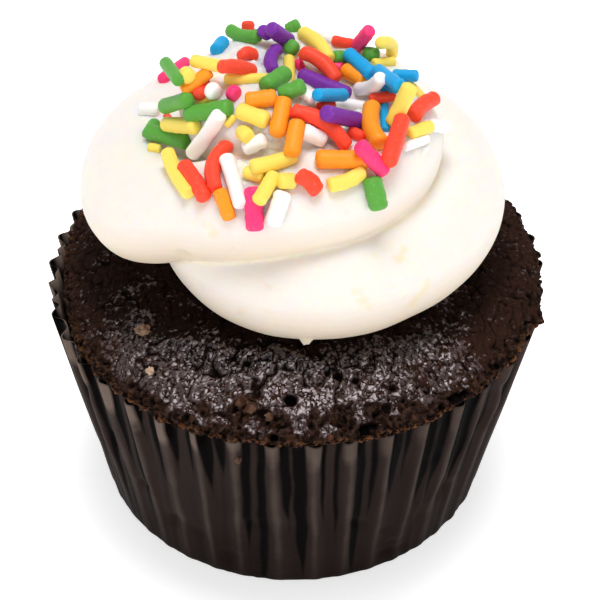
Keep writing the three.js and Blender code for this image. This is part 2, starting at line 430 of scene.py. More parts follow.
fold_lean = for_each_pleat(-LEAN, LEAN)
fold_kink = for_each_pleat(-KINK, KINK)
kink_height = for_each_pleat(*KINK_HEIGHTS)
fold_flatness = case_random.uniform(*FLATNESS, PLEATS)
gap_places = [place + case_random.uniform(-GAP_WANDER, GAP_WANDER, PLEATS) for place in GAP_PLACES]
gap_widths = [GAP_WIDTH * case_random.uniform(*GAP_WIDTHS, PLEATS) for _ in GAP_PLACES]
gap_ends = [CASE_HEIGHT * case_random.uniform(*GAP_ENDS, PLEATS) for _ in GAP_PLACES]
creases = [
    [case_random.uniform(*limits) * unit for limits, unit in CREASE_RANGES] for _ in range(CREASES)
]
print("the flattest pleat keeps", round(1 - fold_flatness.max(), 2), "of its depth at the foot")

# %% [markdown]
# The functions below read those draws for many points at once. A kink is a soft step, a crease is
# sharp along its upper edge and fades downwards, and a gap is wide at the rim and closes lower
# down. The edges of the gaps sway a little, because no fold is ruled with a straight edge.

# %% Read the marks at a place
KINK_LENGTH = 2.2 * MM  # half the height over which a kink turns
RIDGE_PLACE = 0.10  # of the outer fold, in its pleat
RIDGE_WIDTH = 0.4
# How far the gaps sway in pleats, over what height, and how much further on in the next pleat.
GAP_SWAYS = ((0.010, 1.3 * MM, 5), (0.022, 3.9 * MM, 3))
GAP_OPENS = 0.45 * CASE_HEIGHT  # height over which a gap opens to its full width
GAP_SHUT = 0.03  # how far a closed gap stays from showing, in pleats
UPPER_EDGE = 0.7  # length of a crease above its edge, as a share of its length below


def per_pleat(values, turns):
    """Values given for each pleat, read smoothly at places counted in pleats."""
    return np.interp(turns, np.arange(PLEATS) + 0.5, values, period=PLEATS)


def wandered(turns, height):
    """Where the folds have wandered to at a height."""
    kink = per_pleat(kink_height, turns)
    below_kink = 1 - rise(height, kink - KINK_LENGTH, kink + KINK_LENGTH)
    lean = per_pleat(fold_lean, turns) * (1 - height / CASE_HEIGHT)
    return turns + lean + per_pleat(fold_kink, turns) * below_kink


def creased(turns, height):
    """Depth of the creases, each sharp along its upper edge and fading downwards."""
    depth = np.zeros(turns.shape)
    for centre, level, width, tall, slant, strength in creases:
        across = (turns - centre + PLEATS / 2) % PLEATS - PLEATS / 2
        down = level + slant * across - height
        fade = np.where(down > 0, down / tall, down / (UPPER_EDGE * tall))
        depth += strength * np.exp(-((across / width) ** 2) - fade**2)
    return depth


def pleat_marks(place, height):
    """How deep in a gap of painted shade a place is, in pleats, and how near a ridge's middle it is.
    """
    pleat = np.floor(place).astype(int) % PLEATS
    across = place - np.floor(place)
    sway = sum(far * np.sin(height / tall + shift * pleat) for far, tall, shift in GAP_SWAYS)
    in_gap = np.full(place.shape, -1.0)
    for centre, width, end in zip(gap_places, gap_widths, gap_ends):
        opening = rise(height, end[pleat], end[pleat] + GAP_OPENS)
        half_width = (width[pleat] + GAP_SHUT) * opening - GAP_SHUT
        in_gap = np.maximum(in_gap, half_width - abs(across + sway - centre[pleat]))
    off_ridge = abs((across - RIDGE_PLACE + 0.5) % 1 - 0.5)
    return in_gap, np.clip(1 - off_ridge / RIDGE_WIDTH, 0, 1)


print("gaps open over", round(GAP_OPENS / MM, 1), "mm of height")

# %% [markdown]
# The wall is a sheet of rows from the foot to the rim, a second sheet a paper's thickness inside it,
# and a flat floor. Each point also remembers how deep in a gap it is, how near a ridge and how high
# up, which the finish needs: the gaps are painted in shade, and the ridges near the rim stay dry and
# pale. Seen from inside, the outer folds are pockets painted in the same shade and the inner folds
# are the dry ridges.

# %% Make the wall
CASE_COLUMNS = PLEATS * 20
CASE_ROWS = 84
CLOSER_AT_FOOT = 1.15  # the rows lie a little closer together at the foot
INNER_ROWS = 14
INNER_FOOT = 0.03  # share of the height where the inner sheet ends
FLAT_PART = 0.65  # share of the height over which pleats flatten out
CREASE_FREE = 3 * MM  # height over which creases fade out above the foot
# A pocket is the gaps' painted shade, laid inside an outer fold.
POCKET_STARTS, POCKET_DEPTH = 0.6, 0.2  # nearness to a ridge, and depth of a pocket at the ridge
FOOT_RING, FOOT_MIDDLE = 0.6, 0.02  # radii of the floor's rings, each as a share of the one before


def case_wall(heights, inset):
    """Rows of points of the wall, and for each point the marks of its pleat."""
    turns = np.arange(CASE_COLUMNS) / CASE_COLUMNS * PLEATS - PLEAT_SHIFT
    level, place = np.meshgrid(heights, turns, indexing="ij")
    fold = fold_at(wandered(place, level))
    marks = np.stack(pleat_marks(wandered(place, level), level))
    fold = (fold + np.roll(fold, 1, axis=1) + np.roll(fold, -1, axis=1)) / 3
    flat = per_pleat(fold_flatness, place) * (1 - rise(level, 0, FLAT_PART * CASE_HEIGHT))
    radius = wall_radius(level) - inset + pleat_depth(level) / 2 * fold * (1 - flat)
    radius -= creased(place, level) * rise(level, 0, CREASE_FREE)
    angle = (place + PLEAT_SHIFT) / PLEATS * FULL_TURN
    radius += RIM_LEAN * np.cos(angle) * level / CASE_HEIGHT
    points = np.stack([radius * np.cos(angle), radius * np.sin(angle), level], axis=-1)
    return points, marks


outer_heights = CASE_HEIGHT * np.linspace(0, 1, CASE_ROWS) ** CLOSER_AT_FOOT
inner_heights = CASE_HEIGHT * np.linspace(1, INNER_FOOT, INNER_ROWS)
outer_wall, outer_marks = case_wall(outer_heights, 0)
inner_wall, inner_marks = case_wall(inner_heights, PAPER)
# Seen from inside, the outer folds get pockets of painted shade and the inner folds become the
# ridges.
inner_marks[0] = (inner_marks[1] - POCKET_STARTS) * POCKET_DEPTH
inner_marks[1] = 1 - inner_marks[1]
foot_ring = outer_wall[:1] * np.array([FOOT_RING, FOOT_RING, 1])
foot_middle = foot_ring * [FOOT_MIDDLE, FOOT_MIDDLE, 1]
case_points = np.concatenate([foot_middle, foot_ring, outer_wall, inner_wall])
foot_marks = outer_marks[:, :1]
case_marks = np.concatenate([foot_marks, foot_marks, outer_marks, inner_marks], axis=1)
case_faces = ring_faces(len(case_points), CASE_COLUMNS)
print("case rows:", len(case_points))

# %% [markdown]
# The paper is dark brown and soaked with fat. Its ridges are paler, partly worn and partly a painted
# sheen, the faces get painted shade away from the ridges, and the paper is darker towards the foot.
# In a narrow band under the rim it stayed dry, pale and matte, with a ragged border. The gaps are
# painted shade, nearly black, because no light comes back out of them.

# %% Finish the paper
GAP_PAINTED_SHADE = (0.0014, 0.0009, 0.0008, 1)
SOAKED_AND_SHADED_PAPER = (0.0085, 0.0048, 0.0041, 1)
WORN_AND_SHEEN_PAPER = (0.0275, 0.0182, 0.0158, 1)
RIDGE_WEAR_AND_SHEEN = (0.0520, 0.0378, 0.0328, 1)
DRY_PAPER = (0.142, 0.106, 0.088, 1)
SOAKED_SIDE, PALE_SIDE = 34 * MM, -34 * MM  # the paper soaked less towards the left
DRY_BAND = 0.90  # share of the height above which the paper stayed dry
paper = Finish("case_paper", Specular_IOR_Level=0.01)
cloud = paper.grain(2.2 * MM, detail=4.0)
blotch = paper.grain(7 * MM, detail=2.0)
ridge = paper.painted("ridge")
height_share = paper.painted("height")
upward = height_share + (cloud - 0.5) * 0.12 + (blotch - 0.5) * 0.3 + ridge * 0.04
dry_ridge = (ridge + height_share * 0.3).between(0.5, 0.85)
dryness = upward.between(DRY_BAND - 0.02, DRY_BAND + 0.05) * dry_ridge
leftness = paper.along_x().between(SOAKED_SIDE, PALE_SIDE)
# Wear on the ridges, painted shade away from them, and darker towards the foot.
wear_and_shading = (height_share * 0.6 + (blotch - 0.5) * 0.6 + ridge * 0.25 + leftness * 0.2).between(0.1, 0.85)
face_colour = wear_and_shading.blend(SOAKED_AND_SHADED_PAPER, WORN_AND_SHEEN_PAPER)
# Paler lines along the ridges, partly wear and partly a painted sheen.
ridge_wear_and_sheen = (ridge * (0.6 + cloud * 0.6)).between(0.62, 0.95) * height_share.between(0.0, 0.5)
wall_colour = (ridge_wear_and_sheen * (0.8 + leftness * 0.6)).blend(face_colour, RIDGE_WEAR_AND_SHEEN)
dry_share = dryness * (0.15 + leftness * leftness * 1.3) * (0.7 + cloud * 0.6)
paper_colour = dry_share.blend(wall_colour, DRY_PAPER)
# Painted shade: the gaps between the pleats and the pockets inside go nearly black.
gap_shade_mask = (paper.painted("gap") + (cloud - 0.5) * 0.06).between(-0.045, 0.03)
paper.feed("Base Color", gap_shade_mask.blend(paper_colour, GAP_PAINTED_SHADE))
paper.feed("Roughness", 0.5 + dryness * 0.3)
paper.bump(paper.grain(0.35 * MM, detail=3.0), 0.05 * MM)
case_height = case_points[:, :, 2] / CASE_HEIGHT
paper_case = add_piece(
    "paper_case_pleated",
    case_points.reshape(-1, 3),
    case_faces,
    paper,
    {"gap": case_marks[0], "ridge": case_marks[1], "height": case_height},
)
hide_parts("paper_case")

# %% [markdown]
# ## The cake
# A cupcake's crust is a thin skin: glossy and finely wrinkled where it set on top, with pores
# where bubbles burst, and open, brown crumb at the edge where it broke against the paper. A
# displacement in the shader would be lost to anyone who uses the mesh, so the relief is made of
# real points: a profile turned round the axis, then pushed in and out by layers of noise.

# %% Sizes of the cake
GAP = 0.3 * MM
DOME_RISE = 7.2 * MM
DOME_POWER = 2.4
CRUST_RADIUS = 31.2 * MM
CRUST_DRIFT = 1.15 * MM
CRUST_DRIFT_SIDE = math.radians(-62)
CRUST_LIP = 1.1 * MM
CRUST_FOOT = CASE_HEIGHT + GAP
# Lumps and a dent of the edge: angle in degrees, height in millimetres, half width in degrees.
EDGE_LUMPS = ((-17, 0.9, 3), (-62, 0.35, 5), (-118, 0.3, 6), (96, 0.5, 6), (-169, -1.3, 24))
SUNK_SIDE = (-169, 0.9 * MM, 26)  # where the edge sank behind the paper: angle, depth, half width
SUNK_FROM = 0.75  # share of the way out where the sinking starts
CAKE_COLUMNS = 900
DOME_ROWS = 82
EDGE_ROWS = 15


def bell(angle, degrees, half_width):
    """1 at a place round the axis, falling to 0 on both sides. Place and half width in degrees."""
    turn = (angle - math.radians(degrees) + math.pi) % FULL_TURN - math.pi
    return np.exp(-((turn / math.radians(half_width)) ** 2))


def crust_radius(angle):
    """How far the crust's edge is from the axis, with its lumps and its dent."""
    radius = CRUST_RADIUS + CRUST_DRIFT * np.cos(angle - CRUST_DRIFT_SIDE)
    for degrees, height, half_width in EDGE_LUMPS:
        radius = radius + height * MM * bell(angle, degrees, half_width)
    return radius


def crust_foot(angle):
    """Height at which the crust's edge starts: just above the paper, lower on its sunk side."""
    degrees, depth, half_width = SUNK_SIDE
    return CRUST_FOOT - depth * bell(angle, degrees, half_width)


def dome_height(share):
    """Height of the dome for a share of the way out to its edge."""
    sunk = (CRUST_FOOT - foot) * rise(share, SUNK_FROM, 1.0)
    return CRUST_FOOT - sunk + CRUST_LIP + DOME_RISE * (1 - share**DOME_POWER)


cake_angles = np.arange(CAKE_COLUMNS) / CAKE_COLUMNS * FULL_TURN
edge = crust_radius(cake_angles)
foot = crust_foot(cake_angles)
print("the crust is", round(2 * edge.mean() / MM, 1), "mm across")

# %% [markdown]
# The profile has three stretches: the side that the paper hides, the rounded edge, and the dome,
# which is sampled finely only where it shows and coarsely under the frosting.

# %% Turn the profile
SIDE_HEIGHTS = np.array((0.65, 2.1, 8, 16, 24, 29, 31, 32.1)) * MM
EDGE_OUT = np.array((-0.5, -0.05, 0.0, 0.0, -0.2, -0.6)) * MM
EDGE_UP = np.array((0, 0.15, 0.4, 0.75, 0.93, 1.0))
COVERED_SHARE = 0.42
COVERED_SHARES = (0.36, 0.28, 0.18, 0.08, 0.005)
FIRST_SHARE = 0.975  # of the way out, where the dome takes over from the edge
CAKE_CLEARANCE = 0.4 * MM  # from the inside of the paper


def cake_rows():
    """Rows of smooth points from the foot up over the edge to the middle of the dome."""
    rows = []
    for height in SIDE_HEIGHTS:
        level = min(height, CASE_HEIGHT)
        radius = wall_radius(level) - pleat_depth(level) / 2 - PAPER - CAKE_CLEARANCE
        rows.append((np.minimum(radius, edge), np.minimum(height, foot)))
    steps = np.linspace(0, len(EDGE_OUT) - 1, EDGE_ROWS)
    for step in steps:
        out = np.interp(step, range(len(EDGE_OUT)), EDGE_OUT)
        up = np.interp(step, range(len(EDGE_UP)), EDGE_UP) * CRUST_LIP
        rows.append((edge + out, foot + up))
    shown = np.linspace(FIRST_SHARE, COVERED_SHARE, DOME_ROWS)
    for share in [*shown, *COVERED_SHARES]:
        rows.append((edge * share, dome_height(share)))
    return rows


def turned(rows, angles):
    """Rows of a radius and a height, turned round the axis."""
    rings = []
    for radius, height in rows:
        ring = radius * np.cos(angles), radius * np.sin(angles), height
        rings.append(np.stack(np.broadcast_arrays(*ring), axis=-1))
    return np.stack(rings)


cake_points = turned(cake_rows(), cake_angles)
cake_faces = ring_faces(len(cake_points), CAKE_COLUMNS)
smooth_cake = BVHTree.FromPolygons(cake_points.reshape(-1, 3).tolist(), cake_faces)
print("cake rows:", len(cake_points))

# %% [markdown]
# Burst bubbles left round holes, and the crust tore in a few dark gaps and in larger patches of open
# crumb. They are placed where the camera's ray through a listed place meets the smooth crust, each
# with a radius, and the holes with a depth.

# %% Place the holes and the tears
# Place in the camera's frame in pixels, then radius and depth in millimetres.
HOLES = (
    (290, 400, 0.8, 1.4),
    (338, 375, 0.6, 0.9),
    (357, 379, 0.5, 0.8),
    (393, 387, 0.6, 0.7),
    (427, 391, 0.45, 0.7),
    (387, 407, 0.8, 0.7),
    (459, 399, 1.1, 1.6),
    (468, 396, 0.9, 1.4),
    (366, 428, 0.9, 1.3),
    (374, 426, 0.7, 1.1),
    (300, 345, 0.5, 0.6),
    (247, 362, 0.5, 0.7),
    (233, 358, 0.6, 0.6),
    (240, 404, 0.9, 0.9),
    (328, 372, 0.5, 0.6),
    (214, 371, 0.6, 0.5),
    (262, 412, 0.8, 0.7),
    (274, 438, 0.5, 0.7),
)
# Place in the camera's frame in pixels, and radius in millimetres.
TEARS = (
    (243, 411, 2.3),
    (262, 420, 1.9),
    (318, 424, 1.7),
    (337, 420, 1.4),
    (352, 426, 1.5),
    (396, 424, 1.8),
    (456, 408, 2.2),
    (470, 396, 1.6),
    (527, 300, 1.7),
    (530, 322, 2.0),
    (103, 370, 1.6),
    (124, 390, 2.0),
    (147, 403, 2.0),
    (172, 414, 1.5),
    (205, 418, 1.4),
    (285, 428, 1.5),
    (345, 409, 1.3),
    (375, 414, 1.8),
    (405, 409, 1.5),
    (427, 412, 1.5),
)


def marks_on(surface, rows):
    """Finds each row's place on a surface, and turns its sizes into metres."""
    marks = []
    for x, y, *sizes in rows:
        place = surface.ray_cast(eye, ray_through(x, y))[0]
        if place is not None:
            marks.append((place, *[size * MM for size in sizes]))
    return marks


hole_places = marks_on(smooth_cake, HOLES)
tear_places = marks_on(smooth_cake, TEARS)
print("holes:", len(hole_places), "tears:", len(tear_places))

# %% [markdown]
# Where the cake tore away from the paper, open crumb shows in a band along the edge. The band is
# narrower where the edge sank behind the paper, is missing at the right, where the edge never
# broke, and reaches inwards at each tear. Noise of two sizes makes its border ragged.

# %% Where the crumb is torn
CRUMB_BAND = 2.0 * MM
LESS_WHERE_SUNK = 1.4
LESS_WHERE_HIGH = 0.8
WHOLE_EDGE = (30, 3.6 * MM, 34)  # where the edge never broke: angle, narrower band, half width
BORDER_WAVES = ((1.5 * MM, 2.8 * MM), (0.7 * MM, 1.0 * MM))  # how far, over what length
BORDER_SOFTNESS = 1.1 * MM


def crumbliness(place):
    """1 in the torn crumb by the paper and 0 up on the crust, with a ragged border."""
    angle = math.atan2(place.y, place.x)
    degrees, narrower, half_width = WHOLE_EDGE
    band = CRUMB_BAND - LESS_WHERE_SUNK * (CRUST_FOOT - crust_foot(angle))
    band -= narrower * bell(angle, degrees, half_width)
    inwards = crust_radius(angle) - math.hypot(place.x, place.y)
    inwards += (place.z - CRUST_FOOT - CRUST_LIP) * LESS_WHERE_HIGH
    ragged = sum(far * noise.noise(place / length) for far, length in BORDER_WAVES)
    torn = max(radius - (place - centre).length for centre, radius in tear_places)
    return min(1.0, max(0.0, (max(band - inwards, torn) + ragged) / BORDER_SOFTNESS))


print("the crumb's band is", CRUMB_BAND / MM, "mm wide")

# %% [markdown]
# Each place of the skin is pushed by several layers of noise. Broad lumps and narrow cracks come
# first. Between the cracks the skin set in small flat plates, pitted by bubbles and grainy with
# dried sugar. In the torn crumb those fade out, and a coarse, porous relief takes their place.
# The same sums say how deep in a crack, pit or pore a place is, which the finish darkens with
# painted shade.

# %% Push one place of the crust
# Height of each layer, then the size of its patches, where it has two a broad and a fine one.
LUMPS, LUMP_SIZES = 0.34 * MM, (3.6 * MM, 1.9 * MM)
CRACKS, CRACK_SIZE, CRACK_SHARPNESS = 0.26 * MM, 2.5 * MM, 14.0
PLATES, PLATE_SIZES, PLATE_SHARPNESS = 0.17 * MM, (1.1 * MM, 0.7 * MM), (4.0, 3.5)
PITS, PIT_SIZE, PIT_FROM = 0.36 * MM, 0.6 * MM, 0.22
BEADS, BEAD_SIZE = 0.09 * MM, 0.45 * MM
CRUMB, CRUMB_SIZES = 0.62 * MM, (1.0 * MM, 0.48 * MM)
PORE_SIZE, PORE_FROM = 0.65 * MM, 0.1
WARP, WARP_SIZE = 0.5 * MM, 1.6 * MM  # bends the cracks and plates, so that they look grown
WARP_SEED = 3
noise.seed_set(WARP_SEED)  # without it noise_vector starts from the clock, and no two runs agree
# Each moves a layer elsewhere in the noise, so that no two layers have the same pattern.
CRACK_SHIFT, PLATE_SHIFT, PIT_SHIFT = Vector((3, 1, 8)), Vector((5, 5, 1)), Vector((9, 4, 2))
HOLE_RAGGEDNESS, HOLE_WAVES = 0.35, 0.8 * MM
HOLE_REACH = 2.2  # radii beyond which a hole isn't felt
HOLE_EDGE = (0.55, 1.15)  # where a hole's side starts and ends, as a share of its radius


def valleys(place, sharpness):
    """1 along winding lines, falling to 0 beside them: the more sharpness, the narrower."""
    return max(0.0, 1 - sharpness * abs(noise.noise(place)))


def hole_depth(place):
    """How deep in one of the holes a place is."""
    sunk = 0.0
    for centre, radius, depth in hole_places:
        apart = (place - centre).length / radius
        if apart < HOLE_REACH:
            ragged = apart * (1 + HOLE_RAGGEDNESS * noise.noise(place / HOLE_WAVES))
            sunk = max(sunk, depth * (1 - rise(ragged, *HOLE_EDGE)))
    return sunk


def crust_push(place):
    """How far the skin moves outwards at a place, and how deep in a hole or pore it is, for painted
    shade.
    """
    crumb = crumbliness(place)
    warp = place + WARP * noise.noise_vector(place / WARP_SIZE)
    broad, fine = (noise.noise(place / size) for size in LUMP_SIZES)
    lumps = LUMPS * (broad + 0.5 * fine)
    crack = valleys(warp / CRACK_SIZE + CRACK_SHIFT, CRACK_SHARPNESS)
    plates = valleys(warp / PLATE_SIZES[0], PLATE_SHARPNESS[0])
    plates += 0.6 * valleys(warp / PLATE_SIZES[1] + PLATE_SHIFT, PLATE_SHARPNESS[1])
    pits = max(0.0, noise.noise(place / PIT_SIZE + PIT_SHIFT) - PIT_FROM)
    beads = BEADS * noise.noise(place / BEAD_SIZE)
    broad, fine = (noise.noise(place / size) for size in CRUMB_SIZES)
    coarse = broad + 1.2 * fine
    pores = max(0.0, noise.noise(warp / PORE_SIZE + PIT_SHIFT) - PORE_FROM)
    skin = (1 - crumb) * (beads - CRACKS * crack - PLATES * plates - PITS * pits)
    broken = crumb * (CRUMB * coarse * 0.55 - 2.2 * CRUMB * pores)
    sunk = hole_depth(place)
    # How deep in a recess a place is, which the finish paints in shade.
    shaded = (1 - crumb) * (0.65 * crack + 0.16 * plates + 0.9 * pits) + 2.4 * crumb * pores
    return lumps + skin + broken - sunk, crumb, max(sunk / MM, shaded)


print("cracks go", round(CRACKS / MM, 2), "mm deep and plates", round(PLATES / MM, 2), "mm")

# %% [markdown]
# A point moves along the way its skin faces, which is square to both its row and its column. Only
# what shows is roughened: the relief starts at the edge, over a few rows, and stops where the
# frosting covers the dome, so that the side stays clear of the paper.

# %% Roughen the crust
FIRST_ROUGH_ROW = len(SIDE_HEIGHTS) + 1
FADE_ROWS = 4
NO_LENGTH = 1e-12  # keeps a point without any direction from dividing by 0

around = np.roll(cake_points, -1, axis=1) - np.roll(cake_points, 1, axis=1)
along = np.gradient(cake_points, axis=0)
outwards = np.cross(around, along)
outwards /= np.linalg.norm(outwards, axis=-1, keepdims=True) + NO_LENGTH
crust_crumb = np.zeros(cake_points.shape[:2])
crust_recess_shade = np.zeros(cake_points.shape[:2])
rough_cake = cake_points.copy()
rows_over_dome = len(cake_points) - len(COVERED_SHARES)
for row in range(FIRST_ROUGH_ROW, rows_over_dome):
    fade = min(1.0, (row - FIRST_ROUGH_ROW + 1) / FADE_ROWS)
    for column in range(CAKE_COLUMNS):
        push, crumb, depth = crust_push(Vector(cake_points[row, column]))
        rough_cake[row, column] += fade * push * outwards[row, column]
        crust_crumb[row, column] = crumb
        crust_recess_shade[row, column] = depth
rough_cake[:, :, 2] = np.maximum(rough_cake[:, :, 2], SIDE_HEIGHTS[0])
print("crust relief from", round(float((rough_cake - cake_points).min() / MM), 2), "mm")

# %% [markdown]
# Three more values are worked out for each point. Sugar came to the top mostly at the front, so the
# gloss is strongest there, fades towards the sides and stops under the frosting. For about two
# millimetres beside the frosting, mostly at the front, the crust gets a painted shadow of the
# frosting. And the lowest millimetre of the edge, where it isn't sunk, has the most toasted tips.

# %% Where the crust is glossy, moist and toasted
GLOSSY_SIDE = math.radians(-94)
GLOSSY_PART = (0.62, 0.985)  # of the facing, where the gloss starts and is full
GLOSS_STARTS = (-5.0, 0.5)  # in millimetres past the frosting's edge
FROSTING_SHADOW_FADES = (0.0, 2.3)
TOASTED_HEIGHT = 1.2 * MM
# Degrees round the axis, and how far the frosting reaches out there, in millimetres.
FROSTING_REACH = ((0, 26.8), (90, 25.8), (180, 26.8), (270, 22.6), (315, 24.8))

facing = np.cos(cake_angles - GLOSSY_SIDE) * 0.5 + 0.5
reach_angles, reaches = np.array(FROSTING_REACH).T
reach = np.interp(np.degrees(cake_angles), reach_angles, reaches, period=360)
past_frosting = np.hypot(cake_points[:, :, 0], cake_points[:, :, 1]) / MM - reach
crust_gloss = rise(facing, *GLOSSY_PART) * rise(past_frosting, *GLOSS_STARTS)
# Painted shadow of the frosting on the crust beside it, strongest at the front.
crust_frosting_shadow = (1 - rise(past_frosting, *FROSTING_SHADOW_FADES)) * facing
crust_torn = rise((CRUST_FOOT + TOASTED_HEIGHT - cake_points[:, :, 2]) / MM, 0.0, 1.0)
crust_torn *= 1 - (CRUST_FOOT - foot) / MM
print("full gloss on", round(100 * float((crust_gloss > 0.99).mean())), "% of the points")

# %% [markdown]
# Chocolate crust is a very dark, dull brown. The torn crumb is redder, with raised tips that are
# toasted. The crust beside the frosting gets a painted shadow of the frosting, and holes, cracks,
# pits and pores get painted shade almost to black. The masks come from the same relief as the shape,
# so colour and shape agree.

# %% Colour the crust
CRUST_BROWN = (0.0300, 0.0126, 0.0080, 1)
CRUMB_BROWN = (0.0480, 0.0255, 0.0195, 1)
CRUMB_SHADE = (0.0050, 0.0020, 0.0012, 1)
TOASTED_TIP = (0.180, 0.066, 0.021, 1)
HOLE_PAINTED_SHADE = (0.0015, 0.0007, 0.0005, 1)
FROSTING_SHADOW_BROWN = (0.0075, 0.0030, 0.0019, 1)
SUGAR_SHEEN = (1.0, 0.88, 0.93, 1)
crust = Finish("chocolate_crust", IOR=1.60, Specular_IOR_Level=1.0, Specular_Tint=SUGAR_SHEEN)
crumb_mask = crust.painted("crumb")
# Painted shade in the holes, cracks, pits and pores.
recess_shade_mask = crust.painted("depth").between(0.05, 0.75)
low_edge = 0.12 + crust.painted("torn") * 0.88
tip_mask = crust.grain(0.32 * MM, detail=3.0).between(0.50, 0.60) * crumb_mask * low_edge
crumb_tone = crust.grain(0.34 * MM, detail=4.0).between(0.43, 0.63)
crumb_colour = crumb_tone.blend(CRUMB_SHADE, CRUMB_BROWN)
skin_colour = crumb_mask.blend(CRUST_BROWN, crumb_colour)
tipped_colour = tip_mask.blend(skin_colour, TOASTED_TIP)
# The frosting's painted shadow darkens the crust beside it.
frosting_shadowed_colour = (crust.painted("shadow_of_frosting") * 0.9).blend(tipped_colour, FROSTING_SHADOW_BROWN)
crust_colour = recess_shade_mask.blend(frosting_shadowed_colour, HOLE_PAINTED_SHADE)
print("nodes for the crust's colour:", len(crust.tree.nodes))

# %% [markdown]
# Where sugar came to the top it set in a glossy skin, broken up by winding cracks: almost closed
# at the front, and only flecks at the sides. Skin and dull crumb are two shaders, since a dull
# surface reflects nothing and no roughness alone makes a glossy one so dull. The second shader
# covers the first wherever there is crumb, a hole, a crack or no sugar.

# %% Gloss the crust and add it
gloss = crust.painted("gloss")
winding = (crust.grain(0.40 * MM, detail=1.0) - 0.5).size()
sugar_flecks = crust.grain(0.29 * MM, detail=0.0)
patches = crust.grain(1.8 * MM, detail=1.0)
skin_cracks = 1 - winding.between(0.012, 0.050)
closeness = sugar_flecks * 0.6 + gloss * 0.42 + (patches - 0.5) * 0.6 - skin_cracks * 0.60 + 0.05
sugar_skin = closeness.between(0.46, 0.60)
crust.feed("Base Color", crust_colour)
crust.feed("Roughness", 0.38 - gloss * 0.02 + crust.grain(5 * MM).between(0.35, 0.75) * 0.06)
crust.bump(sugar_flecks * 0.9 - skin_cracks * 0.6, 0.12 * MM)
dullness = (crumb_mask * 1.6 + recess_shade_mask * 1.4 + (1 - sugar_skin)).between(0.0, 1.0)
crust.cover(dullness, Specular_IOR_Level=0.06, Roughness=0.9)
crust.feed("Base Color", crust_colour)
crust.bump(sugar_flecks * 0.5 + crumb_tone * 0.6, 0.26 * MM)
painted_crust = {
    "crumb": crust_crumb,
    "depth": crust_recess_shade,
    "gloss": crust_gloss,
    "torn": crust_torn,
    "shadow_of_frosting": crust_frosting_shadow,
}
crust_points = rough_cake.reshape(-1, 3)
cake = add_piece("cake_crust", crust_points, cake_faces, crust, painted_crust)
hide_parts("cake")

# %% [markdown]
# ## The frosting
# The frosting is one thick rope from a plain round tip, piped in a rising spiral. Its two visible
# turns melt together along a crease. Sweeping a section along the spiral gives the rope, and a
# voxel remesh welds its turns and a core into one skin, as soft frosting welds. Metaballs
# could do the same, but their size is harder to hold to the solid's.

# %% Sweep the rope
# Stations along the spiral: angle in degrees, then in millimetres the radius and height of the
# rope's middle line and half the rope's width and height.
SPIRAL = (
    (200, 11.0, 43.5, 6.7, 6.3),
    (270, 15.0, 44.5, 7.6, 7.2),
    (315, 17.0, 45.0, 7.8, 7.4),
    (360, 18.8, 45.0, 8.0, 7.4),
    (450, 18.0, 45.0, 7.8, 7.2),
    (540, 18.6, 47.2, 8.2, 7.5),
    (565, 17.9, 49.0, 8.2, 7.5),
    (590, 14.8, 53.0, 7.7, 6.9),
    (630, 12.3, 55.0, 7.2, 6.6),
    (720, 11.4, 55.4, 7.2, 6.4),
    (810, 8.4, 56.6, 6.8, 6.3),
    (900, 7.5, 58.9, 6.6, 6.2),
    (990, 5.0, 59.5, 6.0, 5.9),
)
ROPE_SIDES = 40
ROPE_STEP = 3
ROPE_ENDS = (0.12, 0.35, 0.6, 0.8, 0.95)  # sizes of the sections that round off each end


def rope_station(degrees):
    """Radius, height, half width and half height of the rope, on a smooth curve."""
    index = 0
    while index < len(SPIRAL) - 2 and SPIRAL[index + 1][0] <= degrees:
        index += 1
    share = (degrees - SPIRAL[index][0]) / (SPIRAL[index + 1][0] - SPIRAL[index][0])
    picks = [min(max(index + step, 0), len(SPIRAL) - 1) for step in (-1, 0, 1, 2)]
    a, b, c, d = (np.array(SPIRAL[pick][1:]) * MM for pick in picks)
    bend = (2 * a - 5 * b + 4 * c - d) * share**2 + (3 * b - a - 3 * c + d) * share**3
    return b + ((c - a) * share + bend) / 2


def rope_section(degrees, size, ahead):
    """One section of the rope, upright and square to the spiral."""
    radius, height, half_width, half_height = rope_station(degrees)
    turn = math.radians(degrees)
    sides = np.arange(ROPE_SIDES) / ROPE_SIDES * FULL_TURN
    out = radius - np.cos(sides) * half_width * size
    x = out * math.cos(turn) - ahead * math.sin(turn)
    y = out * math.sin(turn) + ahead * math.cos(turn)
    return np.stack([x, y, height + np.sin(sides) * half_height * size], axis=-1)


first_angle, last_angle = SPIRAL[0][0], SPIRAL[-1][0]
sections = []
for size in ROPE_ENDS:
    ahead = -SPIRAL[0][3] * MM * math.sqrt(1 - size**2)
    sections.append(rope_section(first_angle, size, ahead))
for degrees in range(first_angle, last_angle + 1, ROPE_STEP):
    sections.append(rope_section(degrees, 1, 0))
for size in reversed(ROPE_ENDS):
    ahead = SPIRAL[-1][3] * MM * math.sqrt(1 - size**2)
    sections.append(rope_section(last_angle, size, ahead))
rope_points = np.stack(sections)
rope_faces = ring_faces(len(sections), ROPE_SIDES)
print("the rope has", len(sections), "sections")

# %% [markdown]
# The core fills the middle of the swirl, so that no hollow is left in it. It is a profile turned
# round the axis. Rope and core go into one mesh, the remesh welds them, and a few rounds of
# smoothing soften the crease a little, as the frosting's own weight does.

# %% Weld rope and core
# Radius and height of the core's profile, in millimetres.
CORE_PROFILE = ((14, 35), (16, 44), (11, 55.2), (7, 60), (0.3, 63))
CORE_SIDES = 64
VOXEL = 0.31 * MM
SMOOTHING_ROUNDS = 2
SMOOTHING = 0.5

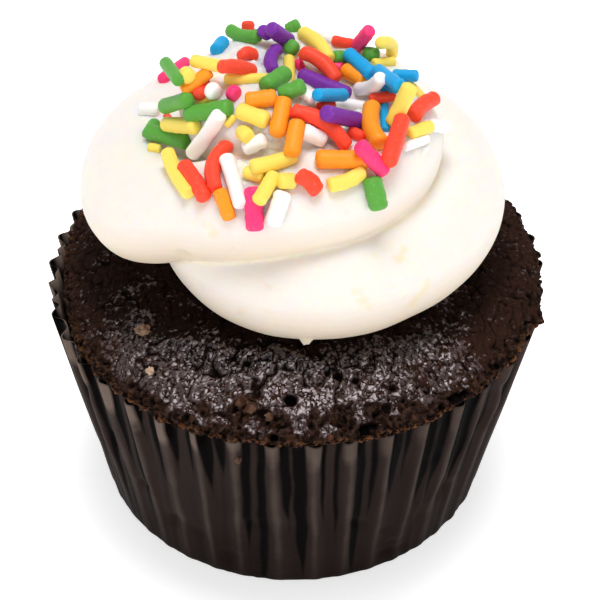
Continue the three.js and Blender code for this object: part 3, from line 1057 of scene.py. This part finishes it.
core_turns = np.arange(CORE_SIDES) / CORE_SIDES * FULL_TURN
core_points = turned(CORE_PROFILE, core_turns) * MM
rope_count = len(sections) * ROPE_SIDES
core_faces = ring_faces(len(CORE_PROFILE), CORE_SIDES, first=rope_count)

raw = bpy.data.meshes.new("raw_swirl")
raw_points = np.concatenate([rope_points.reshape(-1, 3), core_points.reshape(-1, 3)])
raw.from_pydata(raw_points.tolist(), [], rope_faces + core_faces)
raw_swirl = bpy.data.objects.new("raw_swirl", raw)
bpy.context.scene.collection.objects.link(raw_swirl)
weld = raw_swirl.modifiers.new("weld", "REMESH")
weld.mode = "VOXEL"
weld.voxel_size = VOXEL
soften = raw_swirl.modifiers.new("soften", "SMOOTH")
soften.iterations = SMOOTHING_ROUNDS
soften.factor = SMOOTHING
depsgraph = bpy.context.evaluated_depsgraph_get()
welded = bpy.data.meshes.new_from_object(raw_swirl.evaluated_get(depsgraph))
bpy.data.objects.remove(raw_swirl)
print("welded swirl:", len(welded.polygons), "faces")


# %% [markdown]
# The weld can leave small closed shells inside. Only the outer skin is kept, by walking from
# face to face and keeping the largest group of points that hang together.

# %% Keep the outer skin
def read_mesh(mesh):
    """A mesh's points as an array, and its faces as lists."""
    points = np.empty(len(mesh.vertices) * 3)
    mesh.vertices.foreach_get("co", points)
    return points.reshape(-1, 3), [list(face.vertices) for face in mesh.polygons]


def outer_skin(points, faces):
    """Points and faces of the largest connected part of a mesh."""
    group = np.arange(len(points))
    corners = np.array([face[:4] if len(face) > 3 else face + face[-1:] for face in faces])
    while True:
        lowest = group[corners].min(axis=1)
        before = group.copy()
        for corner in range(4):
            np.minimum.at(group, corners[:, corner], lowest)
        group = group[group]
        if (group == before).all():
            break
    kept = group == np.bincount(group).argmax()
    renumbered = np.cumsum(kept) - 1
    kept_faces = [renumbered[face].tolist() for face in faces if kept[face[0]]]
    return points[kept], kept_faces


swirl_points, swirl_faces = outer_skin(*read_mesh(welded))
print("outer skin:", len(swirl_faces), "faces")

# %% [markdown]
# Buttercream from a smooth tip is never quite smooth. It has pinholes where air was whipped in,
# and a few marks of its own: a nick at the end of the upper turn, a short drip over the crust,
# and torn, lumpy patches on top where strands were pressed in.

# %% Place the marks on the frosting
# Place in the camera's frame in pixels, radius and height in millimetres: below 0 it is a pit.
TOUCHES = (
    (184, 254, 0.8, -0.5),
    (189, 259, 0.6, 0.3),
    (391, 287, 0.45, -0.25),
    (404, 299, 0.35, -0.2),
    (270, 285, 0.4, -0.2),
    (200, 286, 0.7, -0.14),
    (241, 315, 0.4, -0.2),
    (127, 214, 0.5, -0.16),
    (131, 223, 0.35, -0.14),
    (235, 249, 0.35, -0.12),
    (455, 214, 0.5, -0.15),
    (437, 300, 0.4, -0.15),
    (303.5, 338, 0.36, 0.7),
    (306.5, 338, 0.36, 0.4),
    (309.5, 338, 0.36, 0.7),
)
# Place in pixels and radius in millimetres of the torn patches.
TORN_PATCHES = ((305, 98, 3.0), (318, 132, 4.2), (268, 142, 3.6), (360, 100, 3.4), (420, 140, 2.6))
TORN_PATCHES += ((250, 60, 4.0), (320, 40, 3.0), (240, 172, 2.4), (345, 120, 3.0))

swirl_tree = BVHTree.FromPolygons(swirl_points.tolist(), swirl_faces)
touch_places = marks_on(swirl_tree, TOUCHES)
torn_places = marks_on(swirl_tree, TORN_PATCHES)
print("small marks:", len(touch_places), "torn patches:", len(torn_places))

# %% [markdown]
# Each point of the swirl is moved outwards by a slow swell, which a hand leaves in the rope, and
# by the marks near it. The drip is three such marks in a row, pushed out in place of in.

# %% Shape the frosting's surface
SWELLS, SWELL_SIZE = 0.16 * MM, 6.5 * MM
TORN_LUMPS, TORN_SIZES = 0.8 * MM, (1.3 * MM, 0.6 * MM)
TOUCH_REACH = 2.5  # radii of a mark beyond which it isn't felt


def frosting_push(place):
    """How far the frosting's skin moves outwards at a place."""
    push = SWELLS * noise.noise(place / SWELL_SIZE)
    for centre, radius, height in touch_places:
        apart = (place - centre).length / radius
        if apart < TOUCH_REACH:
            push += height * math.exp(-apart * apart)
    torn = 0.0
    for centre, radius in torn_places:
        torn = max(torn, 1 - (place - centre).length / radius)
    if torn > 0:
        broad, fine = (abs(noise.noise(place / size)) for size in TORN_SIZES)
        push += TORN_LUMPS * min(1.0, 2.5 * torn) * (broad + 0.6 * fine - 0.2)
    return push


swirl_mesh = bpy.data.meshes.new("swirl_normals")
swirl_mesh.from_pydata(swirl_points.tolist(), [], swirl_faces)
swirl_normals = [vertex.normal.copy() for vertex in swirl_mesh.vertices]
frosting_points = [
    place + frosting_push(place) * normal
    for place, normal in zip((Vector(point) for point in swirl_points), swirl_normals)
]
frosting_tree = BVHTree.FromPolygons(frosting_points, swirl_faces)
print("frosting is", round(max(point.z for point in frosting_points) / MM, 1), "mm high")

# %% [markdown]
# The finish paints a warm shade into the creases and a browner shade onto the undersides, so it
# needs to know where both are. A point in a crease lies below the mean of its surroundings, so the
# mesh is evened out many times, each point moving to the mean of its neighbours, and the way back to
# the real surface is the depth of the crease. The undersides are found from the way they face.

# %% Find the creases and the undersides
CREASE_ROUNDS = 24
UNDERSIDE_STARTS, UNDERSIDE_RANGE = 0.25, 0.75  # in the upward part of the facing


def sunken(mesh, points, normals):
    """How far each point of a mesh lies below the mean of its surroundings."""
    ends = np.empty(2 * len(mesh.edges), dtype=np.int32)
    mesh.edges.foreach_get("vertices", ends)
    start, end = ends[0::2], ends[1::2]
    neighbours = np.bincount(ends, minlength=len(points))
    even = points
    for _ in range(CREASE_ROUNDS):
        sums = [
            np.bincount(start, even[end, axis], len(points))
            + np.bincount(end, even[start, axis], len(points))
            for axis in range(3)
        ]
        even = np.stack(sums, axis=-1) / neighbours[:, None]
    return ((even - points) * normals).sum(axis=1)


normals_as_array = np.array([normal[:] for normal in swirl_normals])
crease_depth = sunken(swirl_mesh, swirl_points, normals_as_array)
facing_down = np.clip((UNDERSIDE_STARTS - normals_as_array[:, 2]) / UNDERSIDE_RANGE, 0, 1)
print("the deepest crease is", round(crease_depth.max() / MM, 2), "mm deep")

# %% [markdown]
# White buttercream is a warm white that lets a little light through, which fills its shadows. That
# is subsurface scattering, with red going furthest. The creases get a painted shade of deeper
# yellow, and flecks of unmixed butter show as faint streaks. The undersides get a painted shade a
# little browner.

# %% Finish the frosting
BUTTERCREAM = (0.895, 0.832, 0.780, 1)
BUTTER_FLECK = (0.86, 0.74, 0.50, 1)
CREASE_SHADE_YELLOW = (0.985, 0.875, 0.64, 1)
UNDERSIDE_SHADE = (0.74, 0.62, 0.48, 1)
buttercream = Finish(
    "white_frosting",
    Roughness=0.5,
    Specular_IOR_Level=0.35,
    Subsurface_Weight=0.9,
    Subsurface_Radius=(1.0, 0.62, 0.30),
    Subsurface_Scale=2.5 * MM,
)
butter_flecks = buttercream.grain(2.6 * MM, detail=3.0).between(0.66, 0.78)
# Painted shade: a deeper yellow in the creases.
crease_shade_mask = buttercream.painted("crease").between(0.1, 0.5)
streaked = butter_flecks.blend(BUTTERCREAM, BUTTER_FLECK)
# Painted shade: the undersides a little browner.
underside_shaded = buttercream.painted("under").blend(streaked, UNDERSIDE_SHADE)
buttercream.feed("Base Color", crease_shade_mask.blend(underside_shaded, CREASE_SHADE_YELLOW))
buttercream.bump(buttercream.grain(0.3 * MM, detail=2.0), 0.02 * MM)
frosting = add_piece(
    "frosting_swirl",
    [point[:] for point in frosting_points],
    swirl_faces,
    buttercream,
    {"crease": crease_depth / MM, "under": facing_down},
)
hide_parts("frosting")

# %% [markdown]
# ## Sugar strands
# Strands are short sticks of coloured sugar paste, cut at random and tumbled, so their ends are
# rounded and many are bent. Dropping them in a physics run would strew them well but not in the
# places wanted. So each is laid by a small rule: look along a ray, let a stick slide along it
# until it touches the frosting or a strand laid before, and tilt it to rest on both ends.

# %% Measure the room around a place
STRAND_SUNK = 0.45 * MM
STRANDS_PRESSED = 0.55  # share of a strand's radius that another one may press into
laid = {"start": np.zeros((0, 3)), "side": np.zeros((0, 3)), "radius": np.zeros(0)}


def room_at(place):
    """Distance to the frosting, into which strands sink a little, or to a strand laid before."""
    room = frosting_tree.find_nearest(place)[3] + STRAND_SUNK
    if len(laid["radius"]):
        from_start = np.array(place) - laid["start"]
        length = (laid["side"] ** 2).sum(axis=1)
        share = np.clip((from_start * laid["side"]).sum(axis=1) / length, 0, 1)
        apart = np.linalg.norm(from_start - share[:, None] * laid["side"], axis=1)
        room = min(room, float((apart - laid["radius"] * (1 - STRANDS_PRESSED)).min()))
    return room


print("strands sink", round(STRAND_SUNK / MM, 2), "mm into the frosting")

# %% [markdown]
# A ball as thick as the stick is slid from several places along it, each time by as much as there
# is room, so it can't pass through anything. Then a straight line is laid against the depths that
# the balls reached, as a stiff stick would lie: nowhere deeper than where it touches.

# %% Slide a stick until it rests
TOUCH = 0.01 * MM


def slide(start, direction, radius, reach):
    """How far a ball gets before it touches, or its nearest approach if it passes by."""
    gone, best, least = 0.0, 0.0, math.inf
    while gone < reach:
        room = room_at(start + gone * direction) - radius
        if room < least:
            best, least = gone, room
        if room < TOUCH:
            break
        gone += max(room, TOUCH)
    return best


def rest(shares, depths, steepest):
    """A straight line of depths that is nowhere deeper than where the stick touches."""
    middle = len(shares) // 2
    at_middle = depths[middle]
    for near in range(middle):
        for far in range(middle + 1, len(shares)):
            rate = (depths[far] - depths[near]) / (shares[far] - shares[near])
            at_middle = min(at_middle, depths[near] - rate * shares[near])
    low = max((d - at_middle) / s for s, d in zip(shares, depths) if s < 0)
    high = min((d - at_middle) / s for s, d in zip(shares, depths) if s > 0)
    tilt = float(np.clip(np.polyfit(shares, depths, 1)[0], min(low, high), max(low, high)))
    tilt = max(-steepest, min(steepest, tilt))
    at_middle = min(d - tilt * s for s, d in zip(shares, depths))
    return [at_middle + tilt * share for share in shares]


print("a ball touches within", round(TOUCH / MM, 2), "mm")

# %% [markdown]
# A strand is drawn as a tube along its middle line with blunt, rounded ends. A little random
# waviness keeps any two from looking alike.

# %% Draw one strand
STRAND_SIDES = 16
STRAND_PLACES = 9
# Rings that round off an end: how far they stand out and their size, in radii.
END_SHAPE = ((0.62, 0.0), (0.61, 0.38), (0.55, 0.68), (0.42, 0.88), (0.22, 0.98))
TIP_SIZE = 0.02
WAVINESS = 0.05
STRANDS_SEED = 21
strand_random = random.Random(STRANDS_SEED)


def strand_mesh(line, radius):
    """Points and faces of one strand along a line of places, with blunt ends."""
    ahead = (line[-1] - line[0]).normalized()
    side = ahead.orthogonal().normalized()
    up = ahead.cross(side)
    wave = [strand_random.uniform(-WAVINESS, WAVINESS) for _ in line]
    rings = [(line[0] - reach * radius * ahead, size) for reach, size in END_SHAPE]
    rings += [(place, 1 + sway) for place, sway in zip(line, wave)]
    rings += [(line[-1] + reach * radius * ahead, size) for reach, size in reversed(END_SHAPE)]
    points = []
    for place, size in rings:
        for step in range(STRAND_SIDES):
            turn = step / STRAND_SIDES * FULL_TURN
            spoke = math.cos(turn) * side + math.sin(turn) * up
            points.append(place + max(size, TIP_SIZE) * radius * spoke)
    return points, ring_faces(len(rings), STRAND_SIDES)


def add_to(parts, points, faces):
    """Adds points and faces to the lists of a mesh that has several parts."""
    all_points, all_faces = parts
    all_faces += [[corner + len(all_points) for corner in face] for face in faces]
    all_points += points


strands = {}


def lay(colour, line, radius):
    """Adds a strand to its colour's mesh and to what later strands rest on."""
    add_to(strands.setdefault(colour, ([], [])), *strand_mesh(line, radius))
    ends = np.array([place[:] for place in line])
    laid["start"] = np.concatenate([laid["start"], ends[:-1]])
    laid["side"] = np.concatenate([laid["side"], ends[1:] - ends[:-1]])
    laid["radius"] = np.concatenate([laid["radius"], np.full(len(line) - 1, radius)])


print("a strand has", (STRAND_PLACES + 2 * len(END_SHAPE)) * STRAND_SIDES, "points")

# %% [markdown]
# These are the strands that the camera sees, from the lowest to the highest, so that each can
# rest on the ones before it. A row of numbers is the two ends in the camera's frame, in pixels,
# then the strand's width and how far its middle bows to one side, also in pixels.

# %% The strands in view
STRANDS_IN_VIEW = (
    ("white", 138, 109, 160, 110, 15, 0),
    ("white", 300, 90, 316, 101, 12, 0),
    ("white", 299, 129, 328, 142, 17, 0),
    ("white", 336, 102, 366, 107, 12, 0),
    ("white", 402, 148, 430, 138, 10, 0),
    ("white", 429, 125, 449, 127, 14, 0),
    ("white", 241, 150, 268, 138, 16, 0),
    ("white", 319, 36, 335, 41, 13, 0),
    ("yellow", 147, 147, 162, 150, 11, 0),
    ("yellow", 196, 103, 216, 99, 8, 0),
    ("yellow", 224, 127, 236, 115, 9, 0),
    ("yellow", 242, 171, 265, 178, 14, 0),
    ("yellow", 237, 128, 253, 141, 16, 0),
    ("pink", 297, 58, 302, 71, 10, 0),
    ("pink", 321, 62, 344, 69, 13, 0),
    ("green", 332, 57, 347, 57, 14, 0),
    ("yellow", 289, 56, 289, 82, 13, 0),
    ("purple", 277, 45, 272, 75, 15, 4),
    ("red", 205, 77, 197, 100, 16, 0),
    ("red", 164, 113, 172, 122, 8, 0),
    ("pink", 190, 59, 158, 82, 13, 0),
    ("orange", 213, 69, 180, 93, 14, 0),
    ("yellow", 182, 71, 192, 79, 17, 0),
    ("yellow", 190, 60, 229, 68, 14, 0),
    ("red", 237, 57, 258, 54, 14, -3),
    ("yellow", 224, 79, 271, 79, 12, 0),
    ("white", 208, 88, 218, 94, 18, 0),
    ("pink", 229, 91, 238, 95, 17, 0),
    ("blue", 384, 101, 385, 132, 9, 0),
    ("red", 368, 100, 397, 95, 12, 0),
    ("red", 317, 107, 335, 105, 10, 0),
    ("red", 347, 130, 366, 139, 13, 0),
    ("blue", 381, 87, 400, 88, 12, 0),
    ("yellow", 404, 79, 427, 102, 10, 0),
    ("green", 362, 54, 380, 55, 16, 0),
    ("yellow", 377, 37, 396, 58, 14, -6),
    ("yellow", 371, 64, 396, 61, 11, 0),
    ("red", 331, 40, 356, 45, 12, 0),
    ("pink", 373, 26, 353, 51, 15, 0),
    ("blue", 392, 75, 419, 76, 13, 0),
    ("green", 284, 31, 302, 22, 14, 0),
    ("red", 248, 17, 248, 34, 14, 0),
    ("green", 226, 30, 262, 37, 15, 3),
    ("blue", 227, 37, 212, 55, 15, 0),
    ("purple", 258, 27, 272, 38, 14, 0),
    ("purple", 266, 25, 294, 45, 17, 0),
    ("green", 287, 44, 296, 51, 17, 0),
    ("yellow", 299, 28, 333, 63, 16, -3),
    ("red", 218, 66, 256, 71, 15, -2),
    ("red", 299, 48, 341, 83, 17, -4),
    ("purple", 297, 73, 352, 96, 16, 0),
    ("orange", 340, 67, 368, 83, 17, 0),
    ("blue", 344, 50, 376, 78, 16, 0),
    ("blue", 373, 67, 404, 89, 15, 0),
    ("white", 354, 92, 386, 76, 15, 3),
    ("blue", 314, 95, 347, 95, 14, 0),
    ("green", 162, 58, 182, 85, 14, 0),
    ("green", 159, 108, 193, 98, 17, 0),
    ("green", 145, 139, 158, 119, 14, 0),
    ("green", 144, 130, 192, 143, 18, 0),
    ("yellow", 162, 124, 200, 127, 17, 0),
    ("green", 184, 115, 233, 107, 18, 0),
    ("yellow", 165, 148, 191, 198, 16, 2),
    ("white", 223, 110, 189, 159, 17, -1),
    ("red", 227, 141, 213, 193, 17, 7),
    ("red", 181, 160, 207, 202, 17, -1),
    ("white", 225, 153, 242, 209, 16, 0),
    ("orange", 218, 187, 231, 222, 15, 0),
    ("pink", 253, 186, 255, 232, 19, 0),
    ("white", 285, 189, 271, 228, 19, 0),
    ("yellow", 249, 168, 298, 155, 16, 1),
    ("yellow", 277, 171, 256, 205, 16, 0),
    ("yellow", 277, 181, 296, 181, 17, 0),
    ("red", 295, 171, 322, 194, 18, -2),
    ("yellow", 326, 187, 367, 171, 16, 2),
    ("orange", 315, 159, 370, 160, 20, 0),
    ("green", 371, 175, 380, 212, 20, 0),
    ("yellow", 235, 109, 271, 122, 18, 0),
    ("orange", 244, 101, 278, 97, 18, 0),
    ("green", 260, 89, 291, 70, 18, 0),
    ("green", 277, 96, 307, 84, 17, 0),
    ("orange", 285, 96, 276, 138, 18, 0),
    ("orange", 298, 119, 291, 157, 18, 0),
    ("red", 289, 107, 352, 149, 17, -7),
    ("purple", 321, 112, 363, 122, 18, 0),
    ("orange", 370, 101, 381, 148, 19, 5),
    ("pink", 356, 141, 388, 176, 17, 0),
    ("yellow", 412, 82, 391, 128, 18, 0),
    ("red", 439, 94, 408, 120, 17, 2),
    ("yellow", 406, 135, 434, 125, 14, 0),
    ("red", 404, 114, 387, 167, 18, 0),
)
print("strands in view:", len(STRANDS_IN_VIEW))

# %% [markdown]
# A row says where a strand is seen, but not how far away it is. Rays run through several places
# along it, a ball slides down each until it touches, and the straight line that rests on those
# depths is the strand. One that still hangs is let fall straight down, and one that would stand
# out above the topmost strand is moved down along its rays.

# %% Lay the strands in view
STEEPEST = 2.6 * MM  # how far an end of a strand may rise or fall from its middle
HIGHEST = 69.2 * MM
SLIDE_REACH = 120 * MM
START_SHORT = 350 * MM  # how far from the eye a slide starts
NEARER = 25 * MM  # how much nearer to the eye the strands lie than the camera's target
THICKNESS_SHARE = 0.96  # of the width given, without the strand's soft edge
OBLIQUE_SHARE = 0.35  # widths by which a slanted strand's ends look longer
SHORTEST = 0.15  # least share of the length that the straight part keeps
HANGS, FALL_REACH = 0.05 * MM, 15 * MM  # room under a strand that hangs, and how far it may fall
DOWN = Vector((0, 0, -1))
stick_shares = np.linspace(-1, 1, STRAND_PLACES).tolist()


def settle(line, radius):
    """Lowers a strand that still hangs in the air until some part of it touches."""
    if min(room_at(place) for place in line) - radius < HANGS:
        return line
    fall = min(slide(place, DOWN, radius, FALL_REACH) for place in line)
    return [place + fall * DOWN for place in line]


def lay_in_view(colour, x0, y0, x1, y1, width, bow):
    """Lays one strand where the camera sees it."""
    pixel = (CAMERA_DISTANCE - NEARER) / FOCAL_PIXELS
    radius = THICKNESS_SHARE * width / 2 * pixel
    length = math.hypot(x1 - x0, y1 - y0)
    oblique = abs(2 * (x1 - x0) * (y1 - y0)) / length**2
    blunt = END_SHAPE[0][0] + OBLIQUE_SHARE * oblique
    inner = max(SHORTEST, 1 - width * blunt / length)
    across = (-(y1 - y0) / length, (x1 - x0) / length)
    rays = []
    for share in stick_shares:
        x = (x0 + x1) / 2 + share * inner * (x1 - x0) / 2 + bow * (1 - share**2) * across[0]
        y = (y0 + y1) / 2 + share * inner * (y1 - y0) / 2 + bow * (1 - share**2) * across[1]
        rays.append(ray_through(x, y))
    touched = [slide(eye + START_SHORT * ray, ray, radius, SLIDE_REACH) for ray in rays]
    depths = rest(stick_shares, touched, STEEPEST)
    line = [eye + (START_SHORT + depth) * ray for depth, ray in zip(depths, rays)]
    line = settle(line, radius)
    over = max(place.z for place in line) + radius - HIGHEST
    if over > 0:
        line = [place + over / math.sin(CAMERA_ELEVATION) * ray for place, ray in zip(line, rays)]
    lay(colour, line, radius)


for strand in STRANDS_IN_VIEW:
    lay_in_view(*strand)
print("strands reach up to", round(float(laid["start"][:, 2].max()) / MM, 1), "mm")

# %% [markdown]
# The far side of the swirl carries strands too. They are dropped straight down at random places,
# and one that the camera could see is left out, so that the front keeps its arrangement.

# %% Strands behind
STRANDS_BEHIND = 46
TRIES = 3000
BEHIND_REACH = 20 * MM
NEAREST_SHARE = 0.2  # keeps them off the middle, which the camera sees
BEHIND_TURNS = (0.05 * math.pi, 0.95 * math.pi)
HALF_LENGTHS, RADII, BOW = (1.5, 2.9), (0.9, 1.1), 0.4  # in millimetres
DROP_HEIGHT, DROP_REACH = 75 * MM, 60 * MM
CLEAR_ABOVE = (0.6 * MM, 1.8 * MM)  # height above the frosting and above a strand to look from
LOOK_FROM = 0.5 * MM
COLOURS = ("red", "orange", "yellow", "green", "blue", "purple", "pink", "white")


def seen(place):
    """Whether the camera sees a place on top of the frosting."""
    to_eye = (eye - place).normalized()
    return frosting_tree.ray_cast(place + LOOK_FROM * to_eye, to_eye)[0] is None


def drop_behind():
    """One strand dropped at a random place, or nothing if it would be in view."""
    turn = strand_random.uniform(*BEHIND_TURNS)
    out = BEHIND_REACH * math.sqrt(strand_random.uniform(NEAREST_SHARE, 1))
    heading = strand_random.uniform(0, math.pi)
    half = strand_random.uniform(*HALF_LENGTHS) * MM
    radius = strand_random.uniform(*RADII) * MM
    bow = strand_random.uniform(-BOW, BOW) * MM
    colour = strand_random.choice(COLOURS)
    middle = Vector((out * math.cos(turn), out * math.sin(turn), DROP_HEIGHT))
    ahead = Vector((math.cos(heading), math.sin(heading), 0))
    across = Vector((-ahead.y, ahead.x, 0))
    below = frosting_tree.ray_cast(middle, DOWN)[0]
    if below is None or seen(below + CLEAR_ABOVE[0] * camera_up):
        return 0
    starts = [middle + s * half * ahead + bow * (1 - s * s) * across for s in stick_shares]
    touched = [slide(start, DOWN, radius, DROP_REACH) for start in starts]
    depths = rest(stick_shares, touched, STEEPEST)
    line = [start + depth * DOWN for start, depth in zip(starts, depths)]
    if any(seen(place + CLEAR_ABOVE[1] * camera_up) for place in line):
        return 0
    lay(colour, line, radius)
    return 1


dropped, tries = 0, 0
while dropped < STRANDS_BEHIND and tries < TRIES:
    dropped += drop_behind()
    tries += 1
print("strands behind:", dropped, "after", tries, "tries")

# %% [markdown]
# The colours are food dyes in sugar: saturated, a little waxy, with a dusting of fine sugar.
# One function writes the finish for any dye. All strands of a colour are one mesh.

# %% Finish the strands
DYES = {
    "red": (0.98, 0.072, 0.030),
    "orange": (1.0, 0.335, 0.015),
    "yellow": (0.99, 0.77, 0.13),
    "green": (0.108, 0.385, 0.050),
    "blue": (0.006, 0.38, 0.77),
    "purple": (0.20, 0.028, 0.37),
    "pink": (1.0, 0.045, 0.20),
    "white": (0.99, 0.965, 0.935),
}
SUGAR_DUST = 0.35
DUST_TONE, DUST_SHARE = 0.9, 0.25


def sugar_paste(colour):
    """The finish of strands in one dye."""
    dye = DYES[colour]
    dusty = tuple(channel + (DUST_TONE - channel) * DUST_SHARE for channel in dye)
    finish = Finish(
        "sugar_" + colour,
        Roughness=0.5,
        Specular_IOR_Level=0.3,
        Subsurface_Weight=0.12,
        Subsurface_Radius=(1.0, 0.6, 0.4),
        Subsurface_Scale=0.6 * MM,
    )
    dust = finish.grain(0.25 * MM, detail=2.0).between(0.6, 0.8) * SUGAR_DUST
    finish.feed("Base Color", dust.blend((*dye, 1), (*dusty, 1)))
    finish.bump(finish.grain(0.5 * MM, detail=2.0), 0.04 * MM)
    return finish


for colour in COLOURS:
    points, faces = strands[colour]
    points = [point[:] for point in points]
    piece = add_piece("strands_" + colour, points, faces, sugar_paste(colour))
    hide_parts("frosting")

# %% [markdown]
# ## Crumbs
# A few crumbs came loose: a brown and a pale one on the crust at the left, some brown ones along
# the torn edge, and one on the paper. Each is a small ball pushed about by noise and half sunk
# into what it lies on. Scattering copies of one crumb would be less work, but would show.

# %% Add the loose crumbs
# Place in the camera's frame in pixels, radius in millimetres, and how pale: 0 is crust brown.
CRUMBS = (
    (143, 331, 0.85, 0.36),
    (150, 371, 0.5, 1.0),
    (238, 460, 0.45, 0.15),
    (242, 402, 0.85, 0.05),
    (251, 408, 0.7, 0.1),
    (269, 417, 0.5, 0.14),
    (330, 438, 0.4, 0.0),
)
CRUMB_RINGS = 20
CRUMB_SIDES = 2 * CRUMB_RINGS
CRUMB_LUMPS = ((0.5, 1.4), (0.3, 4.5))  # height in radii, and lumps across a crumb
CRUMB_LIFT = 0.3  # how far a crumb's middle stands out of what it lies on, in radii
rough_tree = BVHTree.FromPolygons(crust_points.tolist(), cake_faces)
case_tree = BVHTree.FromPolygons(case_points.reshape(-1, 3).tolist(), case_faces)


def crumb_mesh(centre, radius):
    """A lumpy ball: rings of points pushed in and out by noise."""
    points = []
    for ring in range(CRUMB_RINGS):
        tilt = -math.pi / 2 + math.pi * (ring + 0.5) / CRUMB_RINGS
        for step in range(CRUMB_SIDES):
            turn = step / CRUMB_SIDES * FULL_TURN
            out = math.cos(tilt)
            spoke = Vector((out * math.cos(turn), out * math.sin(turn), math.sin(tilt)))
            size = 1.0
            for height, lumps in CRUMB_LUMPS:
                size += height * noise.noise(centre / MM + lumps * spoke)
            points.append(centre + radius * size * spoke)
    return points, ring_faces(CRUMB_RINGS, CRUMB_SIDES)


crumb_points, crumb_faces, crumb_paleness = [], [], []
for x, y, radius, paleness in CRUMBS:
    ray = ray_through(x, y)
    hits = [tree.ray_cast(eye, ray) for tree in (rough_tree, case_tree)]
    place = min((hit for hit in hits if hit[0] is not None), key=lambda hit: hit[3])[0]
    points, faces = crumb_mesh(place - CRUMB_LIFT * radius * MM * ray, radius * MM)
    add_to((crumb_points, crumb_faces), points, faces)
    crumb_paleness += [paleness] * len(points)
print("crumbs:", len(CRUMBS))

# %% [markdown]
# The crumbs are finished like the torn edge, dull and grainy, from dark brown to the colour of
# dry sponge. Each holds one value for how pale it is. They are an extra piece, which takes no
# solid's place, so nothing is replaced here.

# %% Finish the crumbs
CRUMB_DARK, CRUMB_BRIGHT = (0.030, 0.010, 0.006, 1), (0.110, 0.043, 0.027, 1)
SPONGE_DARK, SPONGE_BRIGHT = (0.26, 0.15, 0.095, 1), (0.62, 0.44, 0.31, 1)
crumb_finish = Finish("crumb", Roughness=0.85, Specular_IOR_Level=0.08)
grainy = crumb_finish.grain(0.6 * MM, detail=3.0).between(0.38, 0.62)
brown_crumb = grainy.blend(CRUMB_DARK, CRUMB_BRIGHT)
pale_crumb = grainy.blend(SPONGE_DARK, SPONGE_BRIGHT)
crumb_finish.feed("Base Color", crumb_finish.painted("paleness").blend(brown_crumb, pale_crumb))
crumb_finish.bump(crumb_finish.grain(0.4 * MM), 0.4 * MM)
crumb_points = [point[:] for point in crumb_points]
crumb_values = {"paleness": np.array(crumb_paleness)}
add_piece(
    "loose_crumbs", crumb_points, crumb_faces, crumb_finish, crumb_values
)
